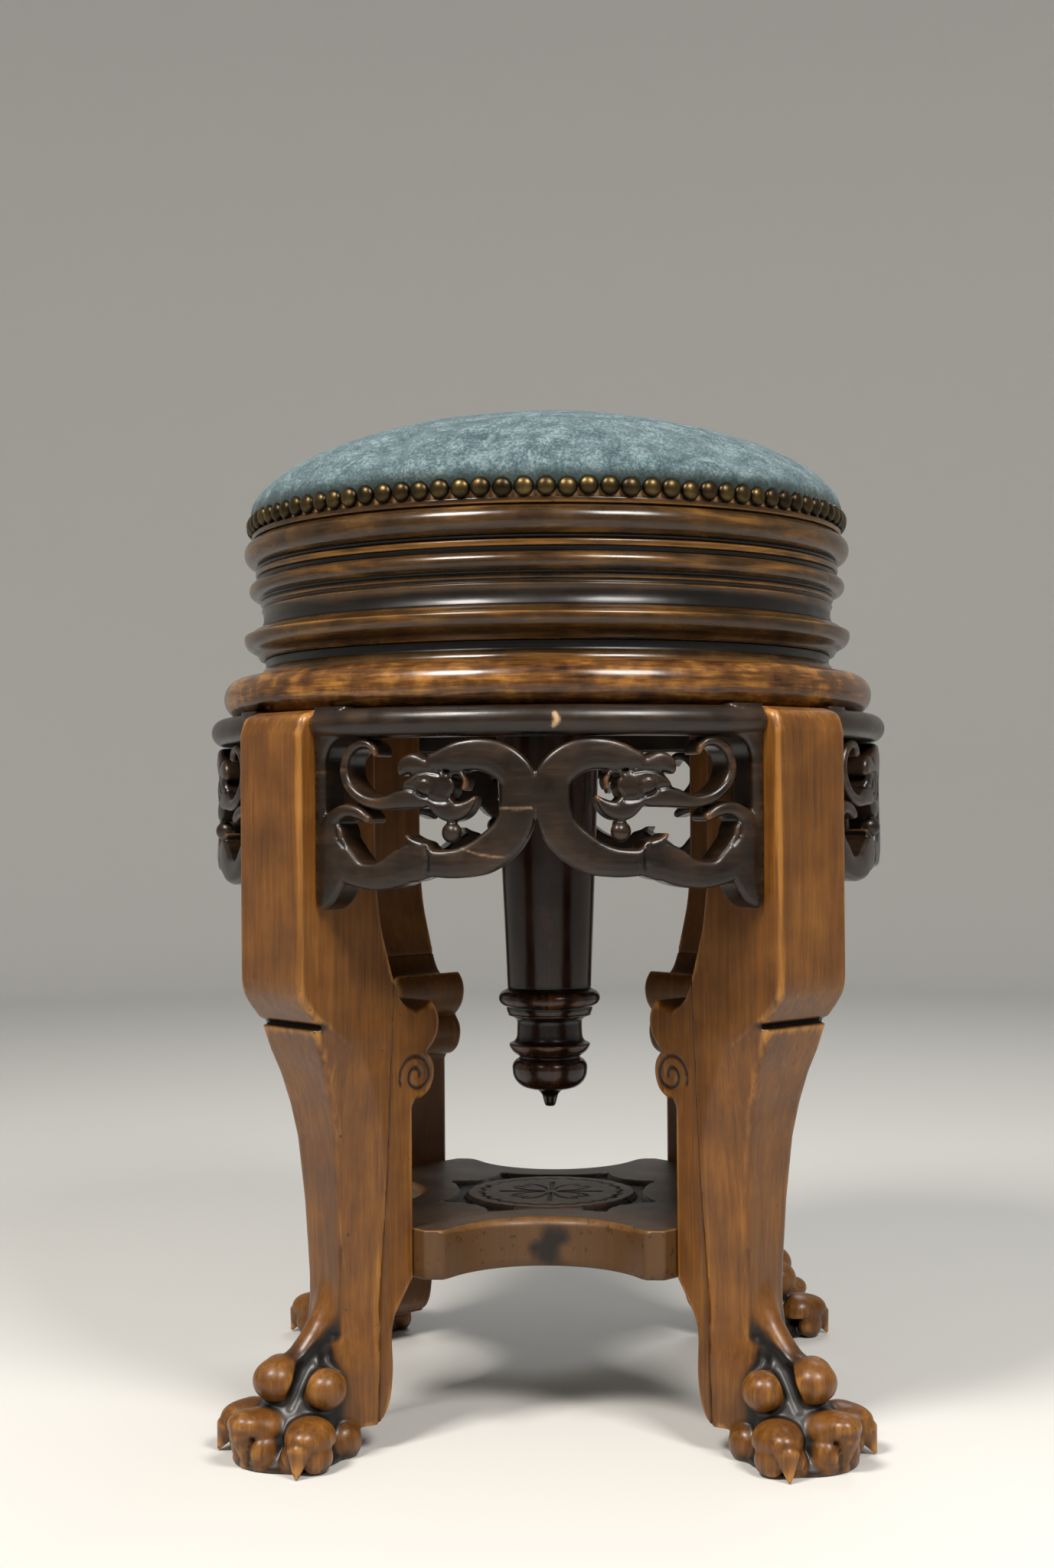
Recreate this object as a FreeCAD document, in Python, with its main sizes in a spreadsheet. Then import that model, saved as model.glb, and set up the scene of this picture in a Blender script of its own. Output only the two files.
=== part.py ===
# Revolving piano stool. A round upholstered seat turns and climbs on a screw, over a base of four
# carved legs, four curved openwork aprons, a carved shelf and a turned pendant that hides the screw.
# Millimetres, +Z up, floor at z = 0, screw axis at x = y = 0, front towards -Y.
import FreeCAD, Part
import math
import operator
import os

import Sketcher

Vector = FreeCAD.Vector
Placement = FreeCAD.Placement
Rotation = FreeCAD.Rotation

doc = FreeCAD.newDocument("PianoStool")
sheet = doc.addObject("Spreadsheet::Sheet", "Sizes")

# Driving dimensions. Heights called drop are measured down from the underside of the top board,
# and rises are measured up from the face below.
sizes = {
    # base frame
    "legHeight": 394,
    "boardThickness": 23.5,
    "boardRadius": 190,
    "legInner": 126.5,
    "legProud": 12.4,
    "legThickness": 54,
    "legTopInner": 150,
    "legTopRound": 12,
    "notchDrop": 167,
    "notchDepth": 3,
    "notchSetback": 11.8,
    "ankleHeight": 60,
    # curved aprons
    "apronProud": 4,
    "apronThickness": 18,
    "railHeight": 15.6,
    "railProud": 3,
    "stileWidth": 6.5,
    # shelf
    "shelfTop": 115,
    "shelfThickness": 26.5,
    "shelfHalf": 114.4,
    "shelfWaist": 79.5,
    "shelfNib": 54,
    "recessDepth": 3,
    "medallionRadius": 50,
    "bandWidth": 25.5,
    "lobeRadius": 27,
    "lobeReach": 84.9,
    # drum of the seat
    "restGap": 0.3,
    "drumNeck": 168,
    "drumWall": 20,
    "plinthHeight": 10.9,
    "ogeeHeight": 18.3,
    "friezeHeight": 27,
    "capHeight": 27,
    "lipStand": 5,
    "lipHeight": 3,
    "beadStand": 2.2,
    "capBeadHeight": 14.8,
    "smallBeadHeight": 9.2,
    "ogeeStand": 9.6,
    "drumBaseThickness": 18,
    "seatBoardThickness": 13,
    # upholstery
    "coverThickness": 1.5,
    "cushionRise": 69,
    "shoulderRise": 27.3,
    "shoulderInset": 15,
    "puff": 4,
    "nailRadius": 5.2,
    "nailHeight": 3.3,
    "nailRise": 5.4,
    "nailCount": 98,
    # screw and nut
    "screwRadius": 13,
    "screwHeadRadius": 18,
    "screwHeadThickness": 5,
    "plateRadius": 45,
    "plateThickness": 6,
    "flangeRadius": 42,
    "flangeThickness": 5,
    "nutBarrelRadius": 18.4,
    "nutLength": 35.5,
    "travel": 100,
    "washerRadius": 17.4,
    "washerThickness": 4,
    "shoulderRadius": 7,
    "boltRadius": 5,
    "boltDepth": 20,
    "boltHeadRadius": 11,
    "boltHeadThickness": 8,
    # wood screws and dowels
    "woodScrewRadius": 2.2,
    "woodScrewHead": 4.4,
    "woodScrewHeadHeight": 2.6,
    "woodScrewLength": 15,
    "screwCircle": 31,
    "dowelRadius": 5,
    "dowelLength": 34,
    "apronDowelRadius": 4,
    "apronDowelLength": 24,
    # pendant
    "housingTopRadius": 31,
    "housingBore": 18.5,
    "housingSpigot": 4,
    "housingFoot": 24.7,
    "housingDrop": 158,
    "boreDrop": 132,
    "collarHeight": 15.5,
    "collarBead": 9.7,
    "dropLength": 55,
    "tenonRadius": 8,
    "tenonLength": 26,
    # clearances
    "glueFit": 0.05,
    "runFit": 0.08,
    "barrelFit": 0.1,
    "washerPlay": 0.1,
}
for row, (name, number) in enumerate(sizes.items(), start=1):
    sheet.set(f"A{row}", name)
    sheet.set(f"B{row}", str(number))
    sheet.setAlias(f"B{row}", name)
doc.recompute()

arithmetic = {"+": operator.add, "-": operator.sub, "*": operator.mul, "/": operator.truediv}


class Size:
    """A size of the sheet, as its number now and as the formula that ties a feature to it."""

    def __init__(self, value, formula):
        self.value = float(value)
        self.formula = formula

    def joined(self, sign, other, flipped=False):
        first, second = (sized(other), self) if flipped else (self, sized(other))
        value = arithmetic[sign](first.value, second.value)
        return Size(value, f"({first.formula} {sign} {second.formula})")

    def __add__(self, other):
        return self.joined("+", other)

    def __radd__(self, other):
        return self.joined("+", other, True)

    def __sub__(self, other):
        return self.joined("-", other)

    def __rsub__(self, other):
        return self.joined("-", other, True)

    def __mul__(self, other):
        return self.joined("*", other)

    def __rmul__(self, other):
        return self.joined("*", other, True)

    def __truediv__(self, other):
        return self.joined("/", other)

    def __neg__(self):
        return self.joined("-", 0.0, True)


def sized(number):
    """A plain number as a size with a constant formula."""
    return number if isinstance(number, Size) else Size(number, f"{float(number):.6f}")


def root(size):
    """The square root of a size."""
    return Size(math.sqrt(size.value), f"sqrt({size.formula})")


def cell(name):
    """The size held in the sheet's cell of that name."""
    return Size(sheet.get(name), f"Sizes.{name}")


size = {name: cell(name) for name in sizes}

# Heights of the fixed stack and of the seat at its lowest, from the floor.
boardUnder = size["legHeight"]
boardTop = boardUnder + size["boardThickness"]
drumBase = boardTop + size["restGap"]
plinthTop = drumBase + size["plinthHeight"]
ogeeTop = plinthTop + size["ogeeHeight"]
friezeTop = ogeeTop + size["friezeHeight"]
capTop = friezeTop + size["capHeight"]
seatBoardTop = capTop + size["seatBoardThickness"]
drumInner = size["drumNeck"] - size["drumWall"]
coverRadius = size["drumNeck"] + size["lipStand"]
legOuter = size["boardRadius"] + size["legProud"]
apronRadius = size["boardRadius"] + size["apronProud"]
plateUnder = drumBase + size["drumBaseThickness"]
plateTop = plateUnder + size["plateThickness"]
flangeUnder = boardTop - size["flangeThickness"]
nutUnder = boardTop - size["nutLength"]
washerTop = nutUnder - size["travel"] - size["restGap"]
screwEnd = washerTop + size["washerPlay"]
boltHeadTop = washerTop - size["washerThickness"] - size["washerPlay"]
housingUnder = boardUnder - size["housingDrop"]
collarUnder = housingUnder - size["collarHeight"]


def originPart(body, role):
    """The body's own origin plane or axis of that role."""
    return [feature for feature in body.Origin.OriginFeatures if feature.Role == role][0]


def newSketch(body, name, plane, height=None):
    """An empty sketch on a plane of the body, lifted to a height where one is given."""
    sketch = body.newObject("Sketcher::SketchObject", name)
    sketch.AttachmentSupport = [(originPart(body, plane), "")]
    sketch.MapMode = "FlatFace"
    if height is not None:
        sketch.setExpression(".AttachmentOffset.Base.z", height.formula)
    return sketch


def tie(sketch, kind, *where, to):
    """A sketch constraint whose value follows a size."""
    index = sketch.addConstraint(Sketcher.Constraint(kind, *where, to.value))
    sketch.setExpression(f"Constraints[{index}]", to.formula)


def place(sketch, geometry, point, across, up):
    """Ties a point of the sketch to its two coordinates."""
    for kind, axis, to in (("DistanceX", -2, across), ("DistanceY", -1, up)):
        if to.value == 0.0:
            sketch.addConstraint(Sketcher.Constraint("PointOnObject", geometry, point, axis))
        else:
            tie(sketch, kind, -1, 1, geometry, point, to=to)


def drawOutline(sketch, corners):
    """A closed outline through corners (across, up, bulge), counterclockwise. The edge that leaves a
    corner is straight for bulge 0, else an arc that rises bulge times its chord to its right. An arc
    that reaches the axis has its centre there too, so that it turns into a dome."""
    corners = [(sized(across), sized(up), bulge) for across, up, bulge in corners]
    ends = []
    for (x0, y0, bulge), (x1, y1, unused) in zip(corners, corners[1:] + corners[:1]):
        start, end = Vector(x0.value, y0.value, 0), Vector(x1.value, y1.value, 0)
        if bulge == 0:
            edge = sketch.addGeometry(Part.LineSegment(start, end), False)
            ends.append((edge, 1, 2))
            continue
        along = end - start
        middle = (start + end) * 0.5 + Vector(along.y, -along.x, 0) * bulge
        edge = sketch.addGeometry(Part.Arc(start, middle, end), False)
        ends.append((edge, 1, 2) if bulge > 0 else (edge, 2, 1))
        if 0.0 in (x0.value, x1.value):
            sketch.addConstraint(Sketcher.Constraint("PointOnObject", edge, 3, -2))
            continue
        chord = root((x1 - x0) * (x1 - x0) + (y1 - y0) * (y1 - y0))
        tie(sketch, "Radius", edge, to=chord * ((1 + 4 * bulge * bulge) / (8 * abs(bulge))))
    for (edge, first, last), (x0, y0, unused) in zip(ends, corners):
        place(sketch, edge, first, x0, y0)
    for (edge, unused, last), (following, first, alsoUnused) in zip(ends, ends[1:] + ends[:1]):
        sketch.addConstraint(Sketcher.Constraint("Coincident", edge, last, following, first))


def newBody(name):
    body = doc.addObject("PartDesign::Body", name)
    body.Label = name
    return body


def turned(name, corners):
    """A turned piece: its profile, (radius, height, bulge) at each corner, swung round the Z axis."""
    body = newBody(name)
    sketch = newSketch(body, name + "_profile", "XZ_Plane")
    drawOutline(sketch, corners)
    turn = body.newObject("PartDesign::Revolution", name + "_turn")
    turn.Profile = sketch
    turn.ReferenceAxis = (sketch, ["V_Axis"])
    turn.Angle = 360
    doc.recompute()
    return body


def drilled(body, name, radius, circle, top, depth, count):
    """Holes drilled down into a turned piece, evenly spaced on a circle."""
    before = body.Shape.Volume
    sketch = newSketch(body, name + "_circle", "XY_Plane", top)
    hole = sketch.addGeometry(Part.Circle(Vector(circle.value, 0, 0), Vector(0, 0, 1), radius.value), False)
    place(sketch, hole, 3, circle, sized(0))
    tie(sketch, "Radius", hole, to=radius)
    pocket = body.newObject("PartDesign::Pocket", name + "_bore")
    pocket.Profile = sketch
    pocket.Type = 0
    pocket.setExpression("Length", depth.formula)
    doc.recompute()
    pattern = body.newObject("PartDesign::PolarPattern", name + "_pattern")
    pattern.Originals = [pocket]
    pattern.Axis = (originPart(body, "Z_Axis"), [""])
    pattern.Angle = 360
    pattern.Occurrences = count
    body.Tip = pattern
    doc.recompute()
    if body.Shape.Volume >= before:
        raise ValueError(name + " cut nothing")


def carved(name, shape, angle=0):
    """A carved piece or a group of fasteners, as a feature turned about the Z axis to its place."""
    feature = doc.addObject("Part::Feature", name)
    feature.Label = name
    feature.Shape = shape
    feature.Placement = Placement(Vector(), Rotation(Vector(0, 0, 1), angle))
    return feature


def turnedCopies(shape, count, start=0):
    """Copies of a shape, evenly spaced round the Z axis, as separate solids."""
    step = 360 / count
    copies = [shape.rotated(Vector(), Vector(0, 0, 1), start + turn * step) for turn in range(count)]
    return Part.makeCompound(copies)


# Upholstery

def cushionLine(inset):
    """The section of the cushion from the tacked edge to the crown, drawn in from the velvet's face by
    inset: upright behind the nails, puffed out over them, then rolled over into a low dome."""
    puffed = coverRadius + size["puff"]
    shoulder = coverRadius - size["shoulderInset"]
    nailsTop = capTop + size["nailRise"] + size["nailRadius"] + size["restGap"]
    return [
        (coverRadius - inset, capTop + size["restGap"], 0),
        (coverRadius - inset, nailsTop, 0.12),
        (puffed - inset, nailsTop + 4.6, 0.2),
        (puffed - 7 - inset * 0.6, capTop + size["shoulderRise"] - 6.8 - inset * 0.6, 0.02),
        (shoulder - inset * 0.5, capTop + size["shoulderRise"] - inset * 0.8, 0.065),
        (sized(0), capTop + size["cushionRise"] - inset, 0),
    ]


def reversedLine(line):
    """The same line of corners walked the other way, with each bulge on the edge that it leaves."""
    bulges = [-corner[2] for corner in line[:-1]][::-1] + [0]
    return [(across, up, bulge) for (across, up, unused), bulge in zip(line[::-1], bulges)]


def makeUpholstery():
    turned("velvet_cover", reversedLine(cushionLine(size["coverThickness"])) + cushionLine(sized(0)))
    stuffing = cushionLine(size["coverThickness"] + size["barrelFit"])
    seat = [(sized(0), seatBoardTop, 0), (stuffing[0][0], seatBoardTop, 0)]
    turned("seat_stuffing", seat + stuffing[2:])
    boardRim = coverRadius - size["coverThickness"] - size["glueFit"]
    turned("seat_board", [(sized(0), capTop, 0), (boardRim, capTop, 0), (boardRim, seatBoardTop, 0),
                          (sized(0), seatBoardTop, 0)])


def makeNails():
    """Domed heads side by side round the rim. A dome is a cap of the sphere through its rim and crown."""
    rim, height = size["nailRadius"].value, size["nailHeight"].value
    ball = (rim * rim + height * height) / (2 * height)
    latitude = math.degrees(math.asin((ball - height) / ball))
    centre = Vector(coverRadius.value + size["glueFit"].value + height - ball, 0, (capTop + size["nailRise"]).value)
    head = Part.makeSphere(ball, centre, Vector(1, 0, 0), latitude, 90)
    carved("seat_nails", turnedCopies(head, int(size["nailCount"].value)))


# Drum

def makeDrum():
    neck = size["drumNeck"]
    beadRoot = neck + size["beadStand"]
    lipUnder = capTop - size["lipHeight"]
    capBeadTop = lipUnder - 0.6
    capBeadUnder = capBeadTop - size["capBeadHeight"]
    turned("cap_moulding", [
        (drumInner, friezeTop, 0),
        (neck + 0.8, friezeTop, 0),
        (neck + 0.8, friezeTop + 2.4, 0),
        (neck + 3, friezeTop + 2.6, 0),
        (neck + 3, friezeTop + 5.8, 0),
        (neck + 0.8, friezeTop + 6.4, 0),
        (neck + 0.8, capBeadUnder - 0.2, 0),
        (beadRoot, capBeadUnder, 0.49),
        (beadRoot, capBeadTop, 0),
        (beadRoot, lipUnder, 0),
        (coverRadius, lipUnder, 0),
        (coverRadius, capTop, 0),
        (drumInner, capTop, 0),
    ])
    smallBeadTop = friezeTop - 0.6
    smallBeadUnder = smallBeadTop - size["smallBeadHeight"]
    turned("frieze_moulding", [
        (drumInner, ogeeTop, 0),
        (neck, ogeeTop, -0.12),
        (neck - 0.8, smallBeadUnder - 7.6, 0),
        (neck, smallBeadUnder - 6.8, 0),
        (neck - 1.4, smallBeadUnder - 6, 0),
        (neck - 1.4, smallBeadUnder - 4.6, 0),
        (neck + 0.2, smallBeadUnder - 4, 0),
        (neck + 0.2, smallBeadUnder - 2.8, 0),
        (neck - 0.6, smallBeadUnder - 0.4, 0),
        (beadRoot, smallBeadUnder, 0.49),
        (beadRoot, smallBeadTop, 0),
        (neck + 0.8, friezeTop, 0),
        (drumInner, friezeTop, 0),
    ])
    ogeeCrown = neck + size["ogeeStand"]
    turned("ogee_moulding", [
        (drumInner, plinthTop, 0),
        (neck + 0.7, plinthTop, -0.12),
        (ogeeCrown - 3.6, ogeeTop - 13, 0.12),
        (ogeeCrown, ogeeTop - 7.5, 0.05),
        (ogeeCrown - 0.2, ogeeTop - 4.6, -0.1),
        (ogeeCrown - 5.1, ogeeTop - 2, 0),
        (neck, ogeeTop, 0),
        (drumInner, ogeeTop, 0),
    ])
    turned("plinth_ring", [
        (drumInner, drumBase, 0),
        (neck + 0.5, drumBase, 0.12),
        (neck - 0.8, drumBase + 4, 0),
        (neck - 2, drumBase + 5.6, 0),
        (neck - 2.5, drumBase + 5.8, 0),
        (neck - 2.5, plinthTop, 0),
        (drumInner, plinthTop, 0),
    ])
    boardRim = drumInner - size["barrelFit"]
    screwHole = size["screwRadius"] + 1
    board = turned("drum_base_board", [(screwHole, drumBase, 0), (boardRim, drumBase, 0),
                                       (boardRim, plateUnder, 0), (screwHole, plateUnder, 0)])
    plateHole = size["screwRadius"] + size["glueFit"]
    plate = turned("screw_plate", [(plateHole, plateUnder, 0), (size["plateRadius"], plateUnder, 0),
                                   (size["plateRadius"], plateTop, 0), (plateHole, plateTop, 0)])
    makeWoodScrews("plate_screws", plate, board, plateTop, plateUnder)


def makeWoodScrews(name, iron, board, ironTop, ironUnder):
    """Four wood screws, heads sunk flush in an iron plate or flange, and their holes in it and below."""
    shank, head = size["woodScrewRadius"], size["woodScrewHead"]
    sunk, length, fit = size["woodScrewHeadHeight"], size["woodScrewLength"], size["glueFit"]
    circle = size["screwCircle"]
    drilled(iron, name + "_sink", head + fit, circle, ironTop, sunk, 4)
    drilled(iron, name + "_hole", shank + fit, circle, ironTop, ironTop - ironUnder, 4)
    drilled(board, name + "_pilot", shank + fit, circle, ironUnder, length - (ironTop - ironUnder) + 1, 4)
    top = Vector(circle.value, 0, ironTop.value)
    down = Vector(0, 0, -1)
    screw = Part.makeCylinder(head.value, sunk.value, top, down)
    screw = screw.fuse(Part.makeCylinder(shank.value, length.value, top, down))
    carved(name, turnedCopies(screw.removeSplitter(), 4))


# Screw, nut and stop

def makeScrew():
    screw, bolt = size["screwRadius"], size["boltRadius"]
    boltHole = bolt + size["glueFit"]
    headTop = plateTop + size["screwHeadThickness"]
    turned("seat_screw", [
        (boltHole, screwEnd, 0),
        (screw, screwEnd, 0),
        (screw, plateTop, 0),
        (size["screwHeadRadius"], plateTop, 0),
        (size["screwHeadRadius"], headTop, 0),
        (sized(0), headTop, 0),
        (sized(0), screwEnd + size["boltDepth"] + 1, 0),
        (boltHole, screwEnd + size["boltDepth"] + 1, 0),
    ])
    headUnder = boltHeadTop - size["boltHeadThickness"]
    turned("end_bolt", [
        (sized(0), headUnder, 0),
        (size["boltHeadRadius"], headUnder, 0),
        (size["boltHeadRadius"], boltHeadTop, 0),
        (size["shoulderRadius"], boltHeadTop, 0),
        (size["shoulderRadius"], screwEnd, 0),
        (bolt, screwEnd, 0),
        (bolt, screwEnd + size["boltDepth"], 0),
        (sized(0), screwEnd + size["boltDepth"], 0),
    ])
    washerHole = size["shoulderRadius"] + size["runFit"]
    washerUnder = washerTop - size["washerThickness"]
    turned("stop_washer", [(washerHole, washerUnder, 0), (size["washerRadius"], washerUnder, 0),
                           (size["washerRadius"], washerTop, 0), (washerHole, washerTop, 0)])
    nutHole = screw + size["runFit"]
    return turned("base_nut", [
        (nutHole, nutUnder, 0),
        (size["nutBarrelRadius"], nutUnder, 0),
        (size["nutBarrelRadius"], flangeUnder, 0),
        (size["flangeRadius"], flangeUnder, 0),
        (size["flangeRadius"], boardTop, 0),
        (nutHole, boardTop, 0),
    ])


# Top board and pendant

def makeBoard(nut):
    edge = size["boardThickness"] / 2
    barrel = size["nutBarrelRadius"] + size["glueFit"]
    flange = size["flangeRadius"] + size["glueFit"]
    housing = size["housingTopRadius"] + size["glueFit"]
    housingTop = boardUnder + size["housingSpigot"]
    board = turned("ring_board", [
        (barrel, housingTop, 0),
        (housing, housingTop, 0),
        (housing, boardUnder, 0),
        (size["boardRadius"] - edge, boardUnder, 0.49),
        (size["boardRadius"] - edge, boardTop, 0),
        (flange, boardTop, 0),
        (flange, flangeUnder, 0),
        (barrel, flangeUnder, 0),
    ])
    makeWoodScrews("nut_screws", nut, board, boardTop, flangeUnder)
    return board


def makePendant():
    socket = size["tenonRadius"] + size["glueFit"]
    foot, top = size["housingFoot"], size["housingTopRadius"]
    tenonTop = collarUnder + size["tenonLength"]
    turned("screw_housing", [
        (socket, housingUnder, 0),
        (foot, housingUnder, 0),
        (foot + 2.8, housingUnder + 67, 0),
        (top, boardUnder, 0),
        (top, boardUnder + size["housingSpigot"], 0),
        (size["housingBore"], boardUnder + size["housingSpigot"], 0),
        (size["housingBore"], boardUnder - size["boreDrop"], 0),
        (sized(0), boardUnder - size["boreDrop"], 0),
        (sized(0), tenonTop + 1, 0),
        (socket, tenonTop + 1, 0),
    ])
    beadTop = housingUnder - 1.6
    beadUnder = beadTop - size["collarBead"]
    turned("pendant_collar", [
        (socket, collarUnder, 0),
        (foot, collarUnder, 0),
        (foot + 0.8, beadUnder - 1.8, 0),
        (foot + 0.5, beadUnder, 0.49),
        (foot + 0.5, beadTop, 0),
        (foot - 0.4, housingUnder, 0),
        (socket, housingUnder, 0),
    ])
    # The drop hangs below the collar: neck, cup-shaped ring, bulb and tip, as rises from the tip.
    tip, neck = collarUnder - size["dropLength"], foot - 5.4
    turned("pendant_drop", [
        (sized(0), tip, 0),
        (foot - 22.1, tip, 0),
        (foot - 21.3, tip + 1.5, 0),
        (foot - 20.1, tip + 6.5, -0.15),
        (foot - 12.5, tip + 10.7, 0.2),
        (foot - 2.6, tip + 21.5, 0.2),
        (foot - 6.9, tip + 28.7, 0),
        (foot - 6.9, tip + 30.1, 0),
        (foot - 6.5, tip + 30.1, 0.12),
        (foot - 0.7, tip + 36.5, 0),
        (foot - 0.7, tip + 37.3, -0.2),
        (neck, collarUnder - 12.5, 0),
        (neck - 0.2, collarUnder - 6, -0.2),
        (foot - 2.7, collarUnder - 2.1, 0),
        (foot - 2.7, collarUnder - 1.2, 0),
        (foot, collarUnder - 1.2, 0),
        (foot, collarUnder, 0),
        (size["tenonRadius"], collarUnder, 0),
        (size["tenonRadius"], tenonTop, 0),
        (sized(0), tenonTop, 0),
    ])


# Shelf

def makeShelf():
    """A square with concave sides and cut corners against the legs, and a sunk ground that leaves the
    round medallion, the four side bands and the corner lobes standing."""
    half, nib = size["shelfHalf"], size["shelfNib"]
    corner = size["legInner"] * math.sqrt(2) - half
    waist = (half - size["shelfWaist"]).value / (2 * nib.value)
    quarter = [(nib, -half), (corner, -half), (half, -corner), (half, -nib)]
    corners = []
    for turn in range(4):
        for step, (across, up) in enumerate(quarter):
            corners.append((across, up, -waist if step == 3 else 0))
            quarter[step] = (-up, across)
    body = newBody("shelf_blank")
    sketch = newSketch(body, "shelf_outline", "XY_Plane", size["shelfTop"] - size["shelfThickness"])
    drawOutline(sketch, corners)
    pad = body.newObject("PartDesign::Pad", "shelf_pad")
    pad.Profile = sketch
    pad.setExpression("Length", size["shelfThickness"].formula)
    doc.recompute()
    rise = half - size["shelfWaist"]
    edgeRadius = (nib * nib + rise * rise) / (2 * rise)
    edgeCentre = size["shelfWaist"] + edgeRadius
    bandRadius = edgeRadius + size["bandWidth"]
    lobe = size["lobeReach"] / math.sqrt(2)
    lands = [cylinder("medallion", size["medallionRadius"], sized(0), sized(0))]
    for across, up in ((1, 0), (0, 1), (-1, 0), (0, -1)):
        lands.append(cylinder(f"band_{len(lands)}", bandRadius, edgeCentre * across, edgeCentre * up))
    for across, up in ((1, 1), (-1, 1), (-1, -1), (1, -1)):
        lands.append(cylinder(f"lobe_{len(lands)}", size["lobeRadius"], lobe * across, lobe * up))
    ground = cylinder("ground", size["lobeReach"] - 9, sized(0), sized(0))
    standing = doc.addObject("Part::MultiFuse", "shelf_lands")
    standing.Shapes = lands
    sunk = doc.addObject("Part::Cut", "shelf_ground")
    sunk.Base = ground
    sunk.Tool = standing
    shelf = doc.addObject("Part::Cut", "shelf")
    shelf.Label = "shelf"
    shelf.Base = body
    shelf.Tool = sunk
    doc.recompute()
    return shelf


def cylinder(name, radius, across, up):
    """An upright cylinder of the shelf's sunk ground, standing a little over the shelf."""
    piece = doc.addObject("Part::Cylinder", name)
    piece.setExpression("Radius", radius.formula)
    piece.setExpression("Height", (size["recessDepth"] + 1).formula)
    piece.setExpression(".Placement.Base.x", across.formula)
    piece.setExpression(".Placement.Base.y", up.formula)
    piece.setExpression(".Placement.Base.z", (size["shelfTop"] - size["recessDepth"]).formula)
    return piece


# Legs: each is an outer stave with the paw and an inner stave with the horn and the volute, glued
# along a slanting joint. They are drawn looking along Y, with the leg standing on +X.

def faceOf(runs):
    """A flat face in the XZ plane from runs of points: two points make a line, more make a curve."""
    edges = []
    for run in runs:
        points = [Vector(across, 0, up) for across, up in run]
        if len(points) == 2:
            edges.append(Part.makeLine(*points))
        else:
            curve = Part.BSplineCurve()
            curve.interpolate(points)
            edges.append(curve.toShape())
    return Part.Face(Part.Wire(edges))


def legJoint():
    """Top and foot of the glue line, and its distance from the axis at any height between them."""
    top = (size["legInner"].value + 12.8, size["legHeight"].value - 145)
    low = (size["legInner"].value + 24.5, 15.0)

    def distance(height):
        return top[0] + (low[0] - top[0]) * (top[1] - height) / (top[1] - low[1])

    return top, low, distance


def makeStave():
    outer, half = legOuter.value, size["legThickness"].value / 2
    high, inner = size["legHeight"].value, size["legTopInner"].value
    rounding = size["legTopRound"].value
    notchHigh = high - size["notchDrop"].value
    notch = outer - size["notchSetback"].value
    depth = size["notchDepth"].value
    top, low, joint = legJoint()
    turn = 1 - math.sqrt(0.5)
    runs = [
        [(joint(notchHigh), notchHigh), (notch - depth, notchHigh)],
        [(notch - depth, notchHigh), (notch - depth, notchHigh + 2)],
        [(notch - depth, notchHigh + 2), (notch + 0.4, notchHigh + 3.4)],
        [(notch + 0.4, notchHigh + 3.4), (outer - 5.2, notchHigh + 11), (outer - 1.2, notchHigh + 17.5),
         (outer, notchHigh + 25)],
        [(outer, notchHigh + 25), (outer, high - rounding)],
        [(outer, high - rounding), (outer - turn * rounding, high - turn * rounding), (outer - rounding, high)],
        [(outer - rounding, high), (inner, high)],
        [(inner, high), (inner, high - 90)],
        [(inner, high - 90), (inner - 1.6, high - 102), (inner - 3.1, high - 114), (inner - 5.6, high - 126),
         top],
        [top, (joint(notchHigh), notchHigh)],
    ]
    block = faceOf(runs).extrude(Vector(0, 2 * half, 0))
    block.translate(Vector(0, -half, 0))
    # Shaft below the notch: (height, set back from the leg's outer face, half the width of that face).
    ankle = size["ankleHeight"].value
    shaft = [
        (notchHigh, size["notchSetback"].value, half - 2.4),
        (notchHigh - 14, 16.5, half - 3.4),
        (notchHigh - 27, 22.1, half - 4.8),
        (notchHigh - 44, 27.2, half - 6.4),
        (notchHigh - 62, 30.6, half - 8.3),
        (notchHigh - 97, 33.7, half - 10.4),
        (ankle + 30, 34.9, half - 12.6),
        (ankle + 15, 34.9, half - 12.8),
        (ankle + 6, 31.9, half - 12.4),
        (ankle, 27.4, half - 11.5),
        (ankle - 5, 18.4, half - 10.5),
        (ankle - 9, 10.4, half - 12),
        (ankle - 20, 9.4, half - 9),
        (low[1], 12.4, half - 6),
    ]
    sections = []
    for height, setback, narrow in shaft:
        kink = min(max(outer - setback - 24, joint(height) + 2), joint(height) + 14)
        line = [(joint(height), -half), (kink, -half), (outer - setback, -narrow), (outer - setback, narrow),
                (kink, half), (joint(height), half)]
        points = [Vector(across, side, height) for across, side in line]
        sections.append(Part.makePolygon(points + points[:1]))
    shank = Part.makeLoft(sections, True, True)
    return block.fuse([shank] + pawPieces(outer)).removeSplitter()


def ball(radius, out, side, up):
    return Part.makeSphere(radius, Vector(out, side, up))


def cone(base, tip, start, end):
    """A cone of two radii between two points."""
    start, end = Vector(*start), Vector(*end)
    return Part.makeCone(base, tip, (end - start).Length, start, end - start)


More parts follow.
